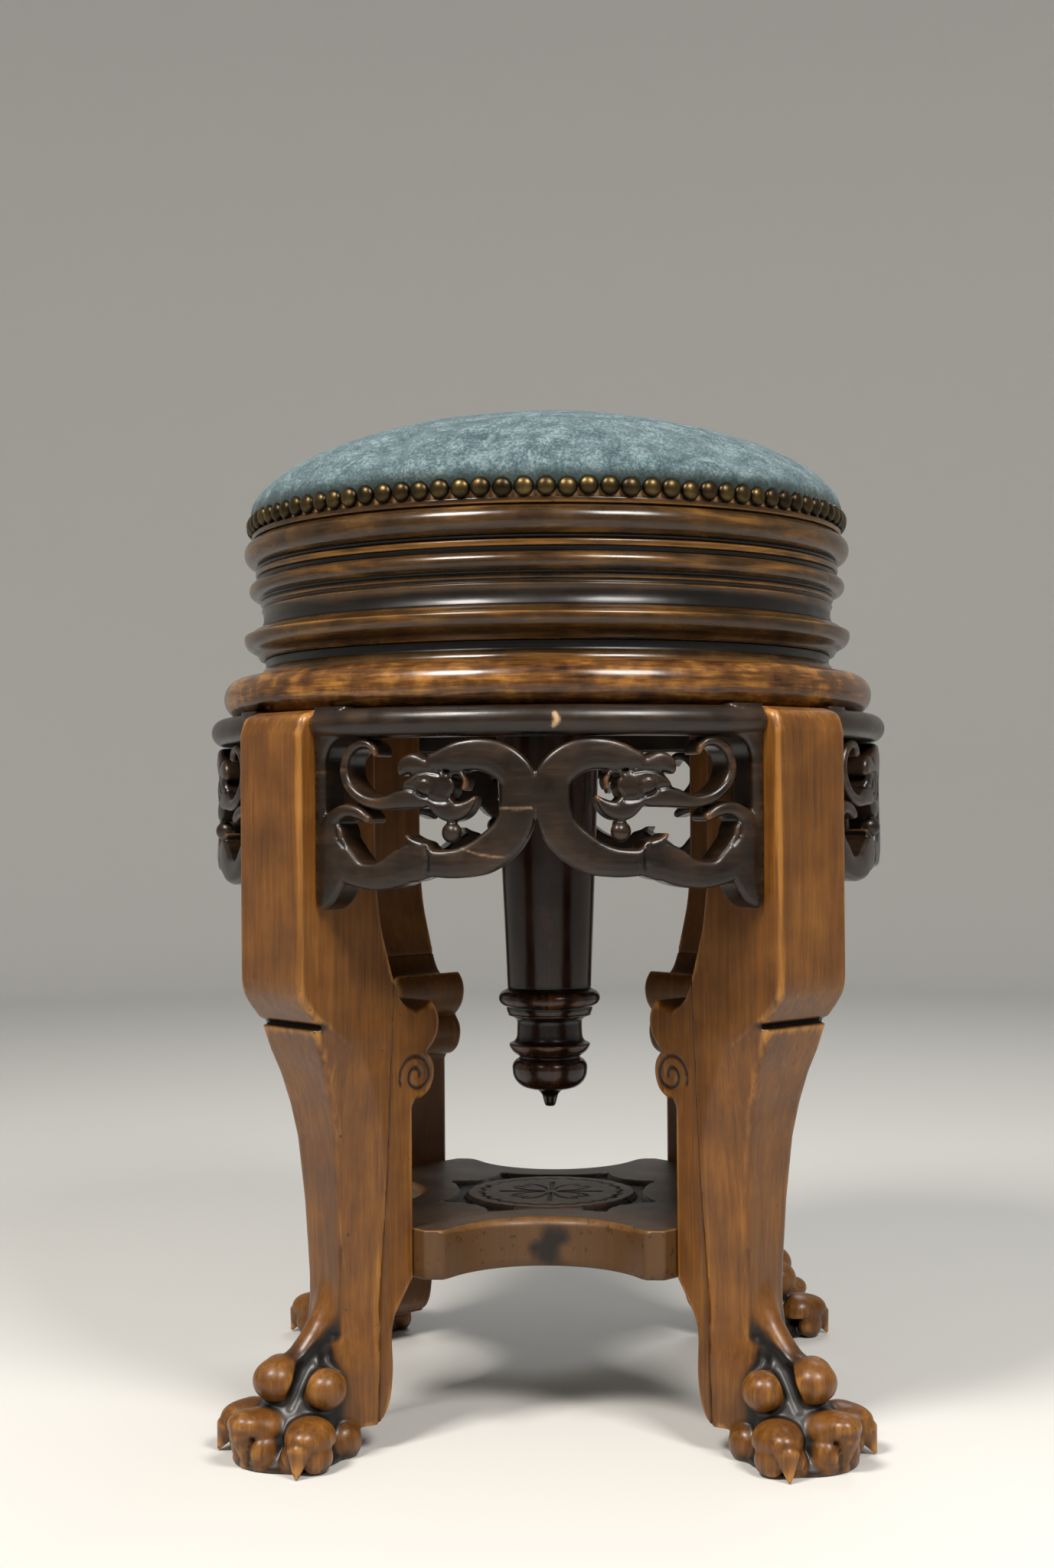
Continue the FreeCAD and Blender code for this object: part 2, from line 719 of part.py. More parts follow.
def pawPieces(outer):
    """The carved paw: an instep, a middle toe and two side toes, each with a knuckle and a claw, and pads.
    Places are measured out from the leg's outer face."""
    pieces = [
        cone(32.5, 28, (outer - 11, 0, 0), (outer - 13, 0, 8)),
        cone(27, 20, (outer - 17, 0, 6), (outer - 20, 0, 36)),
        ball(12.6, outer - 3.2, 0, 42),
        cone(11, 7.5, (outer + 4, 0, 22), (outer + 18, 0, 26)),
        cone(5, 1.6, (outer + 21, 0, 24), (outer + 17, 0, 0.5)),
        cone(9, 8, (outer + 4, 0, 0), (outer + 7, 0, 20)),
    ]
    for hand in (-1, 1):
        pieces += [
            ball(10.6, outer - 21.4, hand * 20, 36.5),
            cone(11, 8, (outer - 8, hand * 22, 16), (outer + 2, hand * 29, 18)),
            cone(4.6, 1.3, (outer + 7, hand * 32.5, 16), (outer + 11.2, hand * 35.5, 0.5)),
            ball(8, outer - 12.4, hand * 29, 8),
            ball(6.5, outer + 7, hand * 26, 9),
            ball(10, outer - 35, hand * 19, 8),
        ]
    above = Part.makeBox(2 * outer, 2 * outer, outer, Vector(0, -outer, 0))
    return [piece.common(above) for piece in pieces]


def makeBracket():
    """The inner stave: horn, volute, straight post and heel, from the top of the joint to its foot."""
    inner, half, high = size["legInner"].value, size["legThickness"].value / 2, size["legHeight"].value
    top, low, joint = legJoint()
    shelfUnder = (size["shelfTop"] - size["shelfThickness"]).value
    horn = (inner - 14.4, high - 156.5)
    waist = (inner - 10.9, high - 184)
    runs = [
        [top, (inner + 9, high - 152.5), (inner + 3.5, high - 158.5), (inner - 3, high - 161.7)],
        [(inner - 3, high - 161.7), (inner - 8.5, high - 160), horn],
        [horn, (inner - 18.2, high - 162), (inner - 19.5, high - 168.5), (inner - 17.9, high - 176),
         (inner - 14.2, high - 181.2), waist],
        [waist, (inner - 15, high - 190), (inner - 15.7, high - 197), (inner - 13, high - 204.5),
         (inner - 7.5, high - 209), (inner - 2.5, high - 209.8)],
        [(inner - 2.5, high - 209.8), (inner, high - 213.5)],
        [(inner, high - 213.5), (inner, shelfUnder)],
        [(inner, shelfUnder), (inner + 12.4, shelfUnder - 18.3)],
        [(inner + 12.4, shelfUnder - 18.3), (inner + 14.6, 60), (inner + 14, 41.7), (inner + 16, 25.8),
         (inner + 20, 18.5), low],
        [low, top],
    ]
    blank = faceOf(runs).extrude(Vector(0, 2 * half, 0))
    blank.translate(Vector(0, -half, 0))
    return blank


def makeLegs():
    """Staves and brackets for the four corners, with their dowel holes, and the dowels themselves."""
    stave, bracket = makeStave(), makeBracket()
    fit, radius, length = size["glueFit"].value, size["dowelRadius"].value, size["dowelLength"].value
    high, half = size["legHeight"].value, size["legThickness"].value / 2
    below = length - size["boardThickness"].value + 8
    up = Vector(0, 0, 1)
    topDowels, topHoles = [], []
    for out in (size["legTopInner"].value + 9, size["legTopInner"].value + 25):
        foot = Vector(out, 0, high - below)
        topDowels.append(Part.makeCylinder(radius, length, foot, up))
        topHoles.append(Part.makeCylinder(radius + fit, length + 2, foot - up, up))
    # Rail dowels enter the leg square to its sides, under the middle of the apron's rail.
    railRadius, railLength = size["apronDowelRadius"].value, size["apronDowelLength"].value
    middle = apronRadius.value - size["apronThickness"].value / 2
    out = math.sqrt(middle * middle - half * half)
    railUp = high - size["railHeight"].value / 2
    railDowels, railHoles = [], []
    for hand in (-1, 1):
        start = Vector(out, hand * (half - railLength / 2), railUp)
        along = Vector(0, hand, 0)
        railDowels.append(Part.makeCylinder(railRadius, railLength, start, along))
        railHoles.append(Part.makeCylinder(railRadius + fit, railLength + 2, start - along, along))
    # Shelf dowels run out from the shelf's cut corners into the post.
    shelfUp = (size["shelfTop"] - size["shelfThickness"] / 2).value
    reach = size["legInner"].value
    outwards = Vector(1, 0, 0)
    start = Vector(reach - 14, 0, shelfUp)
    shelfDowel = Part.makeCylinder(railRadius, 26, start, outwards)
    shelfHole = Part.makeCylinder(railRadius + fit, 28, start - outwards, outwards)
    stave = stave.cut(topHoles + railHoles)
    bracket = bracket.cut(shelfHole)
    corners = {"front_left": 225, "front_right": 315, "back_right": 45, "back_left": 135}
    for corner, angle in corners.items():
        carved("leg_" + corner, stave, angle)
        carved("bracket_" + corner, bracket, angle)
    carved("leg_dowels", Part.makeCompound([turnedCopies(peg, 4, 45) for peg in topDowels]))
    carved("apron_dowels", Part.makeCompound([turnedCopies(peg, 4, 45) for peg in railDowels]))
    carved("shelf_dowels", turnedCopies(shelfDowel, 4, 45))
    holes = [hole for group in topHoles for hole in turnedCopies(group, 4, 45).Solids]
    return holes, [hole for group in railHoles for hole in turnedCopies(group, 4, 45).Solids], \
        turnedCopies(shelfHole, 4, 45)


def holed(name, base, holes):
    """A finished piece with straight holes cut through it, under its own name."""
    tool = doc.addObject("Part::Feature", name + "_holes")
    tool.Shape = Part.makeCompound(holes)
    cut = doc.addObject("Part::Cut", name + "_drilled")
    base.Label = name + "_undrilled"
    cut.Label = name
    cut.Base = base
    cut.Tool = tool
    doc.recompute()
    return cut


# Aprons. The fretwork is drawn flat, as (distance from the middle along the outer face, drop, width)
# at points along the middle of each band, and sawn straight through from the front.
bigScroll = [(53, 28, 9), (41, 25.8, 15), (30.5, 24.8, 16.3), (22, 26.3, 17.3), (14.3, 30.5, 18), (9, 36.8, 18.6),
             (8.3, 45, 18.4), (9, 53, 18.8), (11.2, 60.5, 19.2), (15.4, 66.8, 19.6), (21.5, 72, 19.4),
             (29.5, 76.8, 18), (38, 79.2, 15.6), (46, 80, 14.4), (55, 79.6, 14), (62, 78, 18)]
lowerBand = [(56, 79.5, 13.5), (64, 79, 20), (68.5, 80, 19), (74, 82.5, 18.4), (81, 85.4, 15.4),
             (90, 86.6, 14), (99, 85.2, 14), (108, 80, 18), (115, 72, 18), (117.5, 62, 13), (114, 56.5, 9),
             (108.5, 53.4, 7.4), (103, 52.8, 7), (97, 54.4, 6.5), (92.5, 57, 5)]
lipTip = [(60, 73, 9), (65, 69.5, 5), (68.8, 66, 2)]
footHorn = [(117, 66, 18), (115, 82, 20), (119, 94, 15), (122.5, 100.5, 8)]
cheek = [(48, 41, 13), (55, 41, 20), (61, 41.5, 18), (67, 45, 12)]
upperHook = [(60, 46.5, 11), (67, 46.5, 11), (73, 47.2, 10), (79, 48.6, 8), (86, 49.2, 6.6), (94, 47.4, 6.2),
             (100, 44, 6), (104.8, 39, 5.8), (107, 32.5, 5.4), (106, 26.5, 5), (102.5, 21.6, 5.2),
             (97, 18.7, 5), (91.6, 18.9, 4.6), (88.2, 21.5, 4), (87.2, 24, 3)]
snout = [(57, 31.5, 8), (61, 29.8, 9), (65.5, 28.8, 10), (69.3, 30.2, 8.6), (71.4, 33, 5)]
jaw = [(52, 47, 12), (47, 52, 12), (42.5, 53.8, 10), (37.6, 52.4, 8), (33.8, 49.5, 5), (31.6, 47, 2.4)]
curl = [(46, 45, 5), (47.6, 40.5, 3.4), (44, 34.6, 3.4), (39.4, 34, 3), (36.4, 38, 2.6), (37.2, 42, 2.4)]
bands = [bigScroll, lowerBand, lipTip, footHorn, cheek, upperHook, snout, jaw, curl]
pearl = (43.2, 64.2, 5.4)


def bandFace(band, unroll, high, hand):
    """The flat outline of one band: a curve on each side of its middle line, half a width away, closed
    by round ends."""
    centres = [Vector(hand * unroll(along), 0, high - drop) for along, drop, width in band]
    halves = [width / 2 for along, drop, width in band]
    last = len(band) - 1
    left, right, directions = [], [], []
    for index, (centre, half) in enumerate(zip(centres, halves)):
        direction = centres[min(index + 1, last)] - centres[max(index - 1, 0)]
        direction.normalize()
        directions.append(direction)
        across = Vector(-direction.z, 0, direction.x) * half
        left.append(centre + across)
        right.append(centre - across)
    endTip = centres[last] + directions[last] * halves[last]
    startTip = centres[0] - directions[0] * halves[0]
    sides = []
    for points in (left, right[::-1]):
        curve = Part.BSplineCurve()
        curve.interpolate(points)
        sides.append(curve.toShape())
    ends = [Part.Arc(left[last], endTip, right[last]).toShape(), Part.Arc(right[0], startTip, left[0]).toShape()]
    return Part.Face(Part.Wire([sides[0], ends[0], sides[1], ends[1]]))


def makeApron():
    """One apron at the front: moulded rail, end stiles and fretwork in a curved slab between two legs."""
    outer, thick = apronRadius.value, size["apronThickness"].value
    high, half = size["legHeight"].value, size["legThickness"].value / 2
    rail, proud = size["railHeight"].value, size["railProud"].value
    inner = outer - thick
    spread = math.radians(45) - math.asin(half / outer)
    drawn = 126.0
    stretch = outer * spread / drawn

    def unroll(along):
        return outer * math.sin(along * stretch / outer)

    solids = []
    for hand in (-1, 1):
        solids += [bandFace(band, unroll, high, hand).extrude(Vector(0, outer, 0)) for band in bands]
    stile = size["stileWidth"].value
    for hand in (-1, 1):
        edge, end = unroll(drawn - stile), unroll(drawn) + 12
        corner = 13
        runs = [
            [(hand * (edge - corner), high - rail), (hand * end, high - rail)],
            [(hand * end, high - rail), (hand * end, high - 102)],
            [(hand * end, high - 102), (hand * edge, high - 100)],
            [(hand * edge, high - 100), (hand * edge, high - rail - corner)],
            [(hand * edge, high - rail - corner), (hand * (edge - 0.29 * corner), high - rail - 0.29 * corner),
             (hand * (edge - corner), high - rail)],
        ]
        solids.append(faceOf(runs).extrude(Vector(0, outer, 0)))
    fret = solids[0].fuse(solids[1:])
    fret.translate(Vector(0, -outer - 1, 0))
    tall = 110
    low = Vector(0, 0, high - tall)
    shell = Part.makeCylinder(outer, tall, low).cut(Part.makeCylinder(inner, tall, low))
    fret = fret.common(shell)
    back, bead = high - rail, outer + proud - rail / 2
    profile = faceOf([
        [(inner, back), (bead, back)],
        [(bead, back), (bead + 0.354 * rail, back + 0.146 * rail), (outer + proud, back + rail / 2),
         (bead + 0.354 * rail, high - 0.146 * rail), (bead, high)],
        [(bead, high), (inner, high)],
        [(inner, high), (inner, back)],
    ])
    moulding = profile.revolve(Vector(), Vector(0, 0, 1), 90)
    moulding.rotate(Vector(), Vector(0, 0, 1), -135)
    apron = moulding.fuse(fret)
    pearlAt, pearlDrop, pearlRadius = pearl
    for hand in (-1, 1):
        across = hand * unroll(pearlAt)
        seat = outer - pearlRadius - 0.5
        apron = apron.fuse(Part.makeSphere(pearlRadius, Vector(across, -math.sqrt(seat * seat - across * across),
                                                               high - pearlDrop)))
    slab = Part.makeBox(2 * outer, 2 * half, 2 * high, Vector(0, -half, 0))
    for angle in (225, 315):
        apron = apron.cut(slab.rotated(Vector(), Vector(0, 0, 1), angle))
    return apron.removeSplitter()


def makeAprons(railHoles):
    front = makeApron()
    front = front.cut([hole for hole in railHoles if hole.CenterOfMass.y < 0])
    for name, angle in {"front": 0, "right": 90, "back": 180, "left": 270}.items():
        carved("apron_" + name, front, angle)


makeUpholstery()
makeNails()
makeDrum()
board = makeBoard(makeScrew())
makePendant()
shelf = makeShelf()
topHoles, railHoles, shelfHoles = makeLegs()
makeAprons(railHoles)
holed("ring_board", board, topHoles)
holed("shelf", shelf, shelfHoles.Solids)
doc.recompute()

# The pieces that are written, one node each.
nodes = ["velvet_cover", "seat_stuffing", "seat_nails", "seat_board", "cap_moulding", "frieze_moulding",
         "ogee_moulding", "plinth_ring", "drum_base_board", "screw_plate", "plate_screws", "seat_screw",
         "end_bolt", "stop_washer", "ring_board", "base_nut", "nut_screws", "leg_front_left",
         "leg_front_right", "leg_back_left", "leg_back_right", "bracket_front_left",
         "bracket_front_right", "bracket_back_left", "bracket_back_right", "apron_front",
         "apron_right", "apron_back", "apron_left", "apron_dowels", "leg_dowels", "shelf",
         "shelf_dowels", "screw_housing", "pendant_collar", "pendant_drop"]

for feature in doc.Objects:
    if "Invalid" in feature.State or "Error" in feature.State:
        raise ValueError(f"{feature.Label} failed: {feature.State}")
os.makedirs("parts", exist_ok=True)
pieces = {}
for name in nodes:
    shape = doc.getObjectsByLabel(name)[0].Shape
    if shape.isNull() or not shape.isValid() or not shape.Solids:
        raise ValueError(f"{name} has no valid solid")
    pieces[name] = shape
for name, shape in pieces.items():
    shape.exportStep(f"parts/{name}.step")
    box = shape.BoundBox
    print(f"{name}: {len(shape.Solids)} solids, {shape.Volume / 1000:.1f} cm3, z {box.ZMin:.1f} to {box.ZMax:.1f}")
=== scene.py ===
# Revolving piano stool: carved walnut base, turned drum, velvet seat. Shapes are worked out in
# millimetres with +Z up and the front towards -Y, and become metres as each mesh is made.
import math

import bmesh
import bpy
import numpy as np
from mathutils import Matrix, Vector


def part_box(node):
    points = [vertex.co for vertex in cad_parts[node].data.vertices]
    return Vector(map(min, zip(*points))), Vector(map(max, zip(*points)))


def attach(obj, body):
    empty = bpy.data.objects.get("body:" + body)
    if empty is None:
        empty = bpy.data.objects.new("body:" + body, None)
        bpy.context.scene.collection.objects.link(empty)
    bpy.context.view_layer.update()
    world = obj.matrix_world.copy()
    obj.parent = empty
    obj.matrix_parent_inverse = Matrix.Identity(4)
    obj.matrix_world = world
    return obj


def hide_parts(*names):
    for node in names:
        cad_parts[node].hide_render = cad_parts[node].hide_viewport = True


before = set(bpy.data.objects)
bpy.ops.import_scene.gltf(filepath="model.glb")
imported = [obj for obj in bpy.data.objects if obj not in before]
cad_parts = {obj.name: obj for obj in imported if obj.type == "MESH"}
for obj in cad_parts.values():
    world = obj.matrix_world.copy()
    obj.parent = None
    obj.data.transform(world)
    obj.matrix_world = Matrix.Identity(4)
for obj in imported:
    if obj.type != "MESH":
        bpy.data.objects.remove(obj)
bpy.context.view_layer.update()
scene = bpy.context.scene
scene.view_settings.view_transform = "Standard"
rng = np.random.default_rng(7)


def report(words):
    print("stool: " + words)


# Materials

def linear(colour):
    # An sRGB channel c is ((c + 0.055) / 1.055) to the power 2.4 in linear light, or c / 12.92 near black
    channels = [int(colour[i:i + 2], 16) / 255 for i in (1, 3, 5)]
    return tuple(c / 12.92 if c <= 0.04045 else ((c + 0.055) / 1.055) ** 2.4 for c in channels) + (1.0,)


def addNode(tree, kind, inputs, output=0, ramp=(), **settings):
    # One node with its settings and inputs, giving back one of its outputs. An input is linked where it is
    # given a socket, and filled otherwise. A ramp is rows of (position, colour)
    made = tree.nodes.new("ShaderNode" + kind)
    for unused in ramp[2:]:
        made.color_ramp.elements.new(0.5)
    for index, (position, colour) in enumerate(ramp):
        made.color_ramp.elements[index].position = position
        made.color_ramp.elements[index].color = linear(colour)
    for name, value in settings.items():
        setattr(made, name, value)
    for name, value in inputs.items():
        if isinstance(value, bpy.types.NodeSocket):
            tree.links.new(value, made.inputs[name])
        else:
            made.inputs[name].default_value = value
    return made.outputs[output] if len(made.outputs) else None


def newMaterial(name):
    material = bpy.data.materials.new(name)
    material.use_nodes = True
    tree = material.node_tree
    tree.nodes.clear()
    return material, tree


def finishMaterial(tree, look):
    addNode(tree, "OutputMaterial", {"Surface": addNode(tree, "BsdfPrincipled", look)})


def perMetre(millimetres):
    # The noise scale whose features are about that many millimetres apart
    return 1000 / millimetres


def makeWood(name, look):
    # A stained and French polished wood. Its figure is noise drawn out along the grain: broad streaks,
    # then fine ones, then pores. The relief mark lightens arrises, for stain rubbed thin by hands and feet
    # and as a painted highlight along them; the hollow mark darkens hollows, for gathered polish and dirt
    # and as painted shade in them. The ink mark darkens cut patterns, dark joints and stains, and paints
    # shade into cuts and hollows. Inputs 0, 6 and 7 of a mix are its amount and two colours
    material, tree = newMaterial(name)
    place = addNode(tree, "TexCoord", {}, "Object")
    drawn = addNode(tree, "Mapping", {"Vector": place, "Scale": look["grain"]})
    noise = {}
    for layer, vector, size, detail, roughness, distortion in (
            ("streak", drawn, look["streak"], 5.0, 0.62, 0.5), ("fine", drawn, look["fine"], 3.0, 0.6, 0.0),
            ("cloud", place, look["cloud"], 3.0, 0.55, 0.0), ("speck", place, 4.5, 2.0, 0.5, 0.0),
            ("sag", place, look["sag"], 2.0, 0.5, 0.0)):
        noise[layer] = addNode(tree, "TexNoise", {"Vector": vector, "Scale": perMetre(size), "Detail": detail,
                               "Roughness": roughness, "Distortion": distortion})
    relief, hollow, inkAndShade, pale = (addNode(tree, "Attribute", {}, "Fac", attribute_name=mark)
                                 for mark in ("relief", "hollow", "inkAndShade", "pale"))
    figure = skin = 0.0
    for layer, share in (("streak", 0.36), ("cloud", 0.42), ("fine", 0.22)):
        figure = addNode(tree, "Math", {0: noise[layer], 1: share, 2: figure}, operation="MULTIPLY_ADD")
    for layer, depth in (("sag", look["sagDepth"]), ("fine", look["poreDepth"])):
        skin = addNode(tree, "Math", {0: noise[layer], 1: depth, 2: skin}, operation="MULTIPLY_ADD")
    low, high = look["spread"]
    colour = addNode(tree, "ValToRGB", {"Fac": figure}, ramp=[
        (low, look["dark"]), ((low + high) / 2, look["middle"]), (high, look["light"])])
    patchy = addNode(tree, "Math", {0: noise["streak"], 1: look["patchy"], 2: -look["patchy"] / 2},
                     operation="MULTIPLY_ADD")
    # Arrises lighten towards the worn colour: real wear, and a painted highlight along them
    wearAndHighlight = addNode(tree, "Math", {0: relief, 1: patchy}, operation="ADD")
    # Hollows darken towards the grime colour: real dirt, and painted shade in them
    sunkenness = addNode(tree, "Math", {0: hollow, 1: -1.0, 2: 0.0}, operation="MULTIPLY_ADD")
    dirtAndShade = addNode(tree, "Math", {0: patchy, 1: 0.5, 2: sunkenness}, operation="MULTIPLY_ADD")
    knock = addNode(tree, "Math", {0: relief, 1: 0.2, 2: noise["speck"]}, operation="MULTIPLY_ADD")
    marked = ((wearAndHighlight, *look["wearAndHighlight"]), (dirtAndShade, *look["dirtAndShade"]), (knock, 0.74, 0.8, look["knocks"]))
    wearAndHighlightAmount, grimeAndShadeAmount, knocked = (
        addNode(tree, "MapRange", {"Value": value, "From Min": start, "From Max": end, "To Max": most},
                interpolation_type="SMOOTHSTEP") for value, start, end, most in marked)
    # Ink darkens cut patterns, dark joints and stains, and paints shade into cuts and hollows
    for amount, over in ((wearAndHighlightAmount, look["wearAndHighlightColour"]), (grimeAndShadeAmount, look["grimeAndShadeColour"]), (inkAndShade, "#0b0705"), (pale, look["bare"]),
                         (knocked, look["grimeAndShadeColour"])):
        colour = addNode(tree, "Mix", {0: amount, 6: colour, 7: linear(over)}, 2, data_type="RGBA")
    rough = addNode(tree, "MapRange", {"Value": noise["cloud"], "From Min": 0.3, "From Max": 0.7,
                    "To Min": look["rough"] - 0.05, "To Max": look["rough"] + 0.09})
    rough = addNode(tree, "Math", {0: grimeAndShadeAmount, 1: 0.12, 2: rough}, operation="MULTIPLY_ADD")
    bump = addNode(tree, "Bump", {"Height": skin, "Strength": 1.0, "Distance": 0.001})
    finishMaterial(tree, {"Base Color": colour, "Roughness": rough, "Normal": bump, "IOR": 1.5,
                          "Specular IOR Level": 0.38, "Coat Weight": look["coat"],
                          "Coat Roughness": look["coatRough"], "Coat IOR": 1.5})
    return material


upright = (1.0, 1.0, 0.045)
level = (0.09, 0.09, 1.0)

# Walnut legs, stained and polished long ago: golden brown where light falls, with faint upright streaks
legLook = {
    "dark": "#331a07", "middle": "#633c12", "light": "#87581c", "wearAndHighlightColour": "#b37c36", "grimeAndShadeColour": "#140a04",
    "bare": "#d9a765", "grain": upright, "streak": 4.0, "fine": 1.1, "cloud": 32.0, "spread": (0.26, 0.74),
    "patchy": 0.5, "wearAndHighlight": (0.1, 0.45, 0.8), "dirtAndShade": (0.05, 0.24, 0.96), "knocks": 0.7, "rough": 0.36,
    "sag": 14.0, "sagDepth": 0.2, "poreDepth": 0.06, "coat": 0.14, "coatRough": 0.2}
# Drum rings: darker stain rubbed back to orange brown on the beads, partly a painted highlight, and near black in
# the grooves as dirt and painted shade; streaks running round with the grain
drumLook = {
    "dark": "#150d05", "middle": "#38250f", "light": "#5c4018", "wearAndHighlightColour": "#93642a", "grimeAndShadeColour": "#060302",
    "bare": "#a8763c", "grain": level, "streak": 7.0, "fine": 1.4, "cloud": 26.0, "spread": (0.34, 0.68),
    "patchy": 1.1, "wearAndHighlight": (0.08, 0.6, 0.85), "dirtAndShade": (0.03, 0.2, 0.97), "knocks": 0.4, "rough": 0.22,
    "sag": 16.0, "sagDepth": 0.14, "poreDepth": 0.03, "coat": 0.15, "coatRough": 0.14}
# Board under the drum: the most handled edge, rubbed to gold in patches, the gold partly a painted highlight
boardLook = dict(drumLook, dark="#1e1107", middle="#573616", light="#946529", wearAndHighlightColour="#b5853f", bare="#d8b070",
                 wearAndHighlight=(0.1, 0.55, 0.5), patchy=1.2, streak=5.0, spread=(0.38, 0.62), cloud=18.0)
# Aprons: ebonised, almost black brown, with a dry grey-brown edge where the stain has rubbed off, partly a painted
# highlight
apronLook = {
    "dark": "#0d0805", "middle": "#1f150d", "light": "#352415", "wearAndHighlightColour": "#6a4a2e", "grimeAndShadeColour": "#040202",
    "bare": "#a98c6a", "grain": level, "streak": 5.0, "fine": 1.2, "cloud": 22.0, "spread": (0.36, 0.66),
    "patchy": 0.8, "wearAndHighlight": (0.22, 0.75, 0.8), "dirtAndShade": (0.1, 0.34, 0.9), "knocks": 0.3, "rough": 0.3,
    "sag": 12.0, "sagDepth": 0.16, "poreDepth": 0.05, "coat": 0.1, "coatRough": 0.18}
# Pendant: dark reddish brown, turned
pendantLook = dict(drumLook, dark="#0f0603", middle="#26130a", light="#402111", wearAndHighlightColour="#74431f", grain=upright,
                   streak=8.0, wearAndHighlight=(0.06, 0.5, 0.6))
# Shelf: dull dark top with a thin polish, edges browner
shelfLook = dict(legLook, dark="#1d140c", middle="#38291b", light="#523d29", wearAndHighlightColour="#7c5428", rough=0.46,
                 coat=0.08, wearAndHighlight=(0.16, 0.7, 0.7), spread=(0.32, 0.7), knocks=0.5, streak=6.0, bare="#d0a163")
# Plain beech and oak inside, unpolished
innerLook = dict(legLook, dark="#5a4026", middle="#7b5b38", light="#947149", wearAndHighlightColour="#947149", rough=0.62,
                 coat=0.0, knocks=0.2)


def makeBrass(name):
    # Antiqued brass of the upholstery nails: cast domes lacquered olive brown, a little different from
    # nail to nail, the crowns rubbed brighter
    material, tree = newMaterial(name)
    place = addNode(tree, "TexCoord", {}, "Object")
    each, stain = (addNode(tree, "TexNoise", {"Vector": place, "Scale": perMetre(size), "Detail": detail})
                   for size, detail in ((17.0, 1.0), (2.2, 3.0)))
    relief = addNode(tree, "Attribute", {}, "Fac", attribute_name="relief")
    colour = addNode(tree, "ValToRGB", {"Fac": each}, ramp=[(0.3, "#2a2113"), (0.5, "#4a3c22"), (0.72, "#715c34")])
    for value, start, end, most, over in ((relief, 0.75, 0.1, 0.85, "#1d160a"),
                                          (stain, 0.52, 0.72, 0.6, "#2c2412")):
        amount = addNode(tree, "MapRange", {"Value": value, "From Min": start, "From Max": end, "To Max": most},
                         interpolation_type="SMOOTHSTEP")
        colour = addNode(tree, "Mix", {0: amount, 6: colour, 7: linear(over)}, 2, data_type="RGBA")
    rough = addNode(tree, "MapRange", {"Value": stain, "To Min": 0.24, "To Max": 0.46})
    finishMaterial(tree, {"Base Color": colour, "Roughness": rough, "Metallic": 0.85})
    return material


def makeIron(name, colour, rough):
    # Forged and turned iron, oiled: fine turning lines and a little rust bloom
    material, tree = newMaterial(name)
    place = addNode(tree, "TexCoord", {}, "Object")
    lines = addNode(tree, "Mapping", {"Vector": place, "Scale": (0.05, 0.05, 1.0)})
    bloom, turning = (addNode(tree, "TexNoise", {"Vector": vector, "Scale": perMetre(size), "Detail": detail})
                      for vector, size, detail in ((place, 9.0, 4.0), (lines, 0.8, 2.0)))
    rust = addNode(tree, "MapRange", {"Value": bloom, "From Min": 0.55, "From Max": 0.75, "To Max": 0.7},
                   interpolation_type="SMOOTHSTEP")
    tone = addNode(tree, "Mix", {0: rust, 6: linear(colour), 7: linear("#4a2a18")}, 2, data_type="RGBA")
    bump = addNode(tree, "Bump", {"Height": turning, "Strength": 0.4, "Distance": 0.0001})
    finishMaterial(tree, {"Base Color": tone, "Roughness": rough, "Metallic": 0.9, "Normal": bump})
    return material


def makeVelvet(name):
    # Cotton velvet, slate blue: short pile that lies in patches, so the tone shifts every 10 to 20 mm,
    # with a fine grain of pile tips, drawn 1.7 mm apart so that it shows, and a grey sheen at the edge.
    # Low down by the nails the colour darkens towards the bottom, and the cut edge shows its pale cotton backing
    material, tree = newMaterial(name)
    place = addNode(tree, "TexCoord", {}, "Object")
    pile = addNode(tree, "Mapping", {"Vector": place, "Scale": (1.0, 0.55, 1.0)})
    patch = addNode(tree, "TexNoise", {"Vector": place, "Scale": perMetre(12.0), "Detail": 3.0,
                    "Roughness": 0.6, "Distortion": 0.6})
    tips = addNode(tree, "TexNoise", {"Vector": pile, "Scale": perMetre(1.7), "Detail": 4.0, "Roughness": 0.8})
    tone = addNode(tree, "Math", {0: patch, 1: 0.35, 2: 0.0}, operation="MULTIPLY_ADD")
    tone = addNode(tree, "Math", {0: tips, 1: 0.65, 2: tone}, operation="MULTIPLY_ADD")
    colour = addNode(tree, "ValToRGB", {"Fac": tone}, ramp=[(0.38, "#2c3c41"), (0.5, "#485b61"), (0.62, "#74868a")])
    height = addNode(tree, "SeparateXYZ", {"Vector": place}, "Z")
    frayed = addNode(tree, "Math", {0: tips, 1: 0.003, 2: height}, operation="MULTIPLY_ADD")
    for value, start, end, most, over in ((height, 0.5195, 0.5105, 0.8, "#232b26"),
                                          (frayed, 0.5062, 0.5048, 1.0, "#8f918d")):
        amount = addNode(tree, "MapRange", {"Value": value, "From Min": start, "From Max": end, "To Max": most},
                         interpolation_type="SMOOTHSTEP")
        colour = addNode(tree, "Mix", {0: amount, 6: colour, 7: linear(over)}, 2, data_type="RGBA")
    bump = addNode(tree, "Bump", {"Height": tips, "Strength": 0.7, "Distance": 0.0009})
    finishMaterial(tree, {"Base Color": colour, "Roughness": 0.88, "Specular IOR Level": 0.2, "Normal": bump,
                          "Sheen Weight": 0.4, "Sheen Roughness": 0.4, "Sheen Tint": linear("#a6b1b3")})
    return material


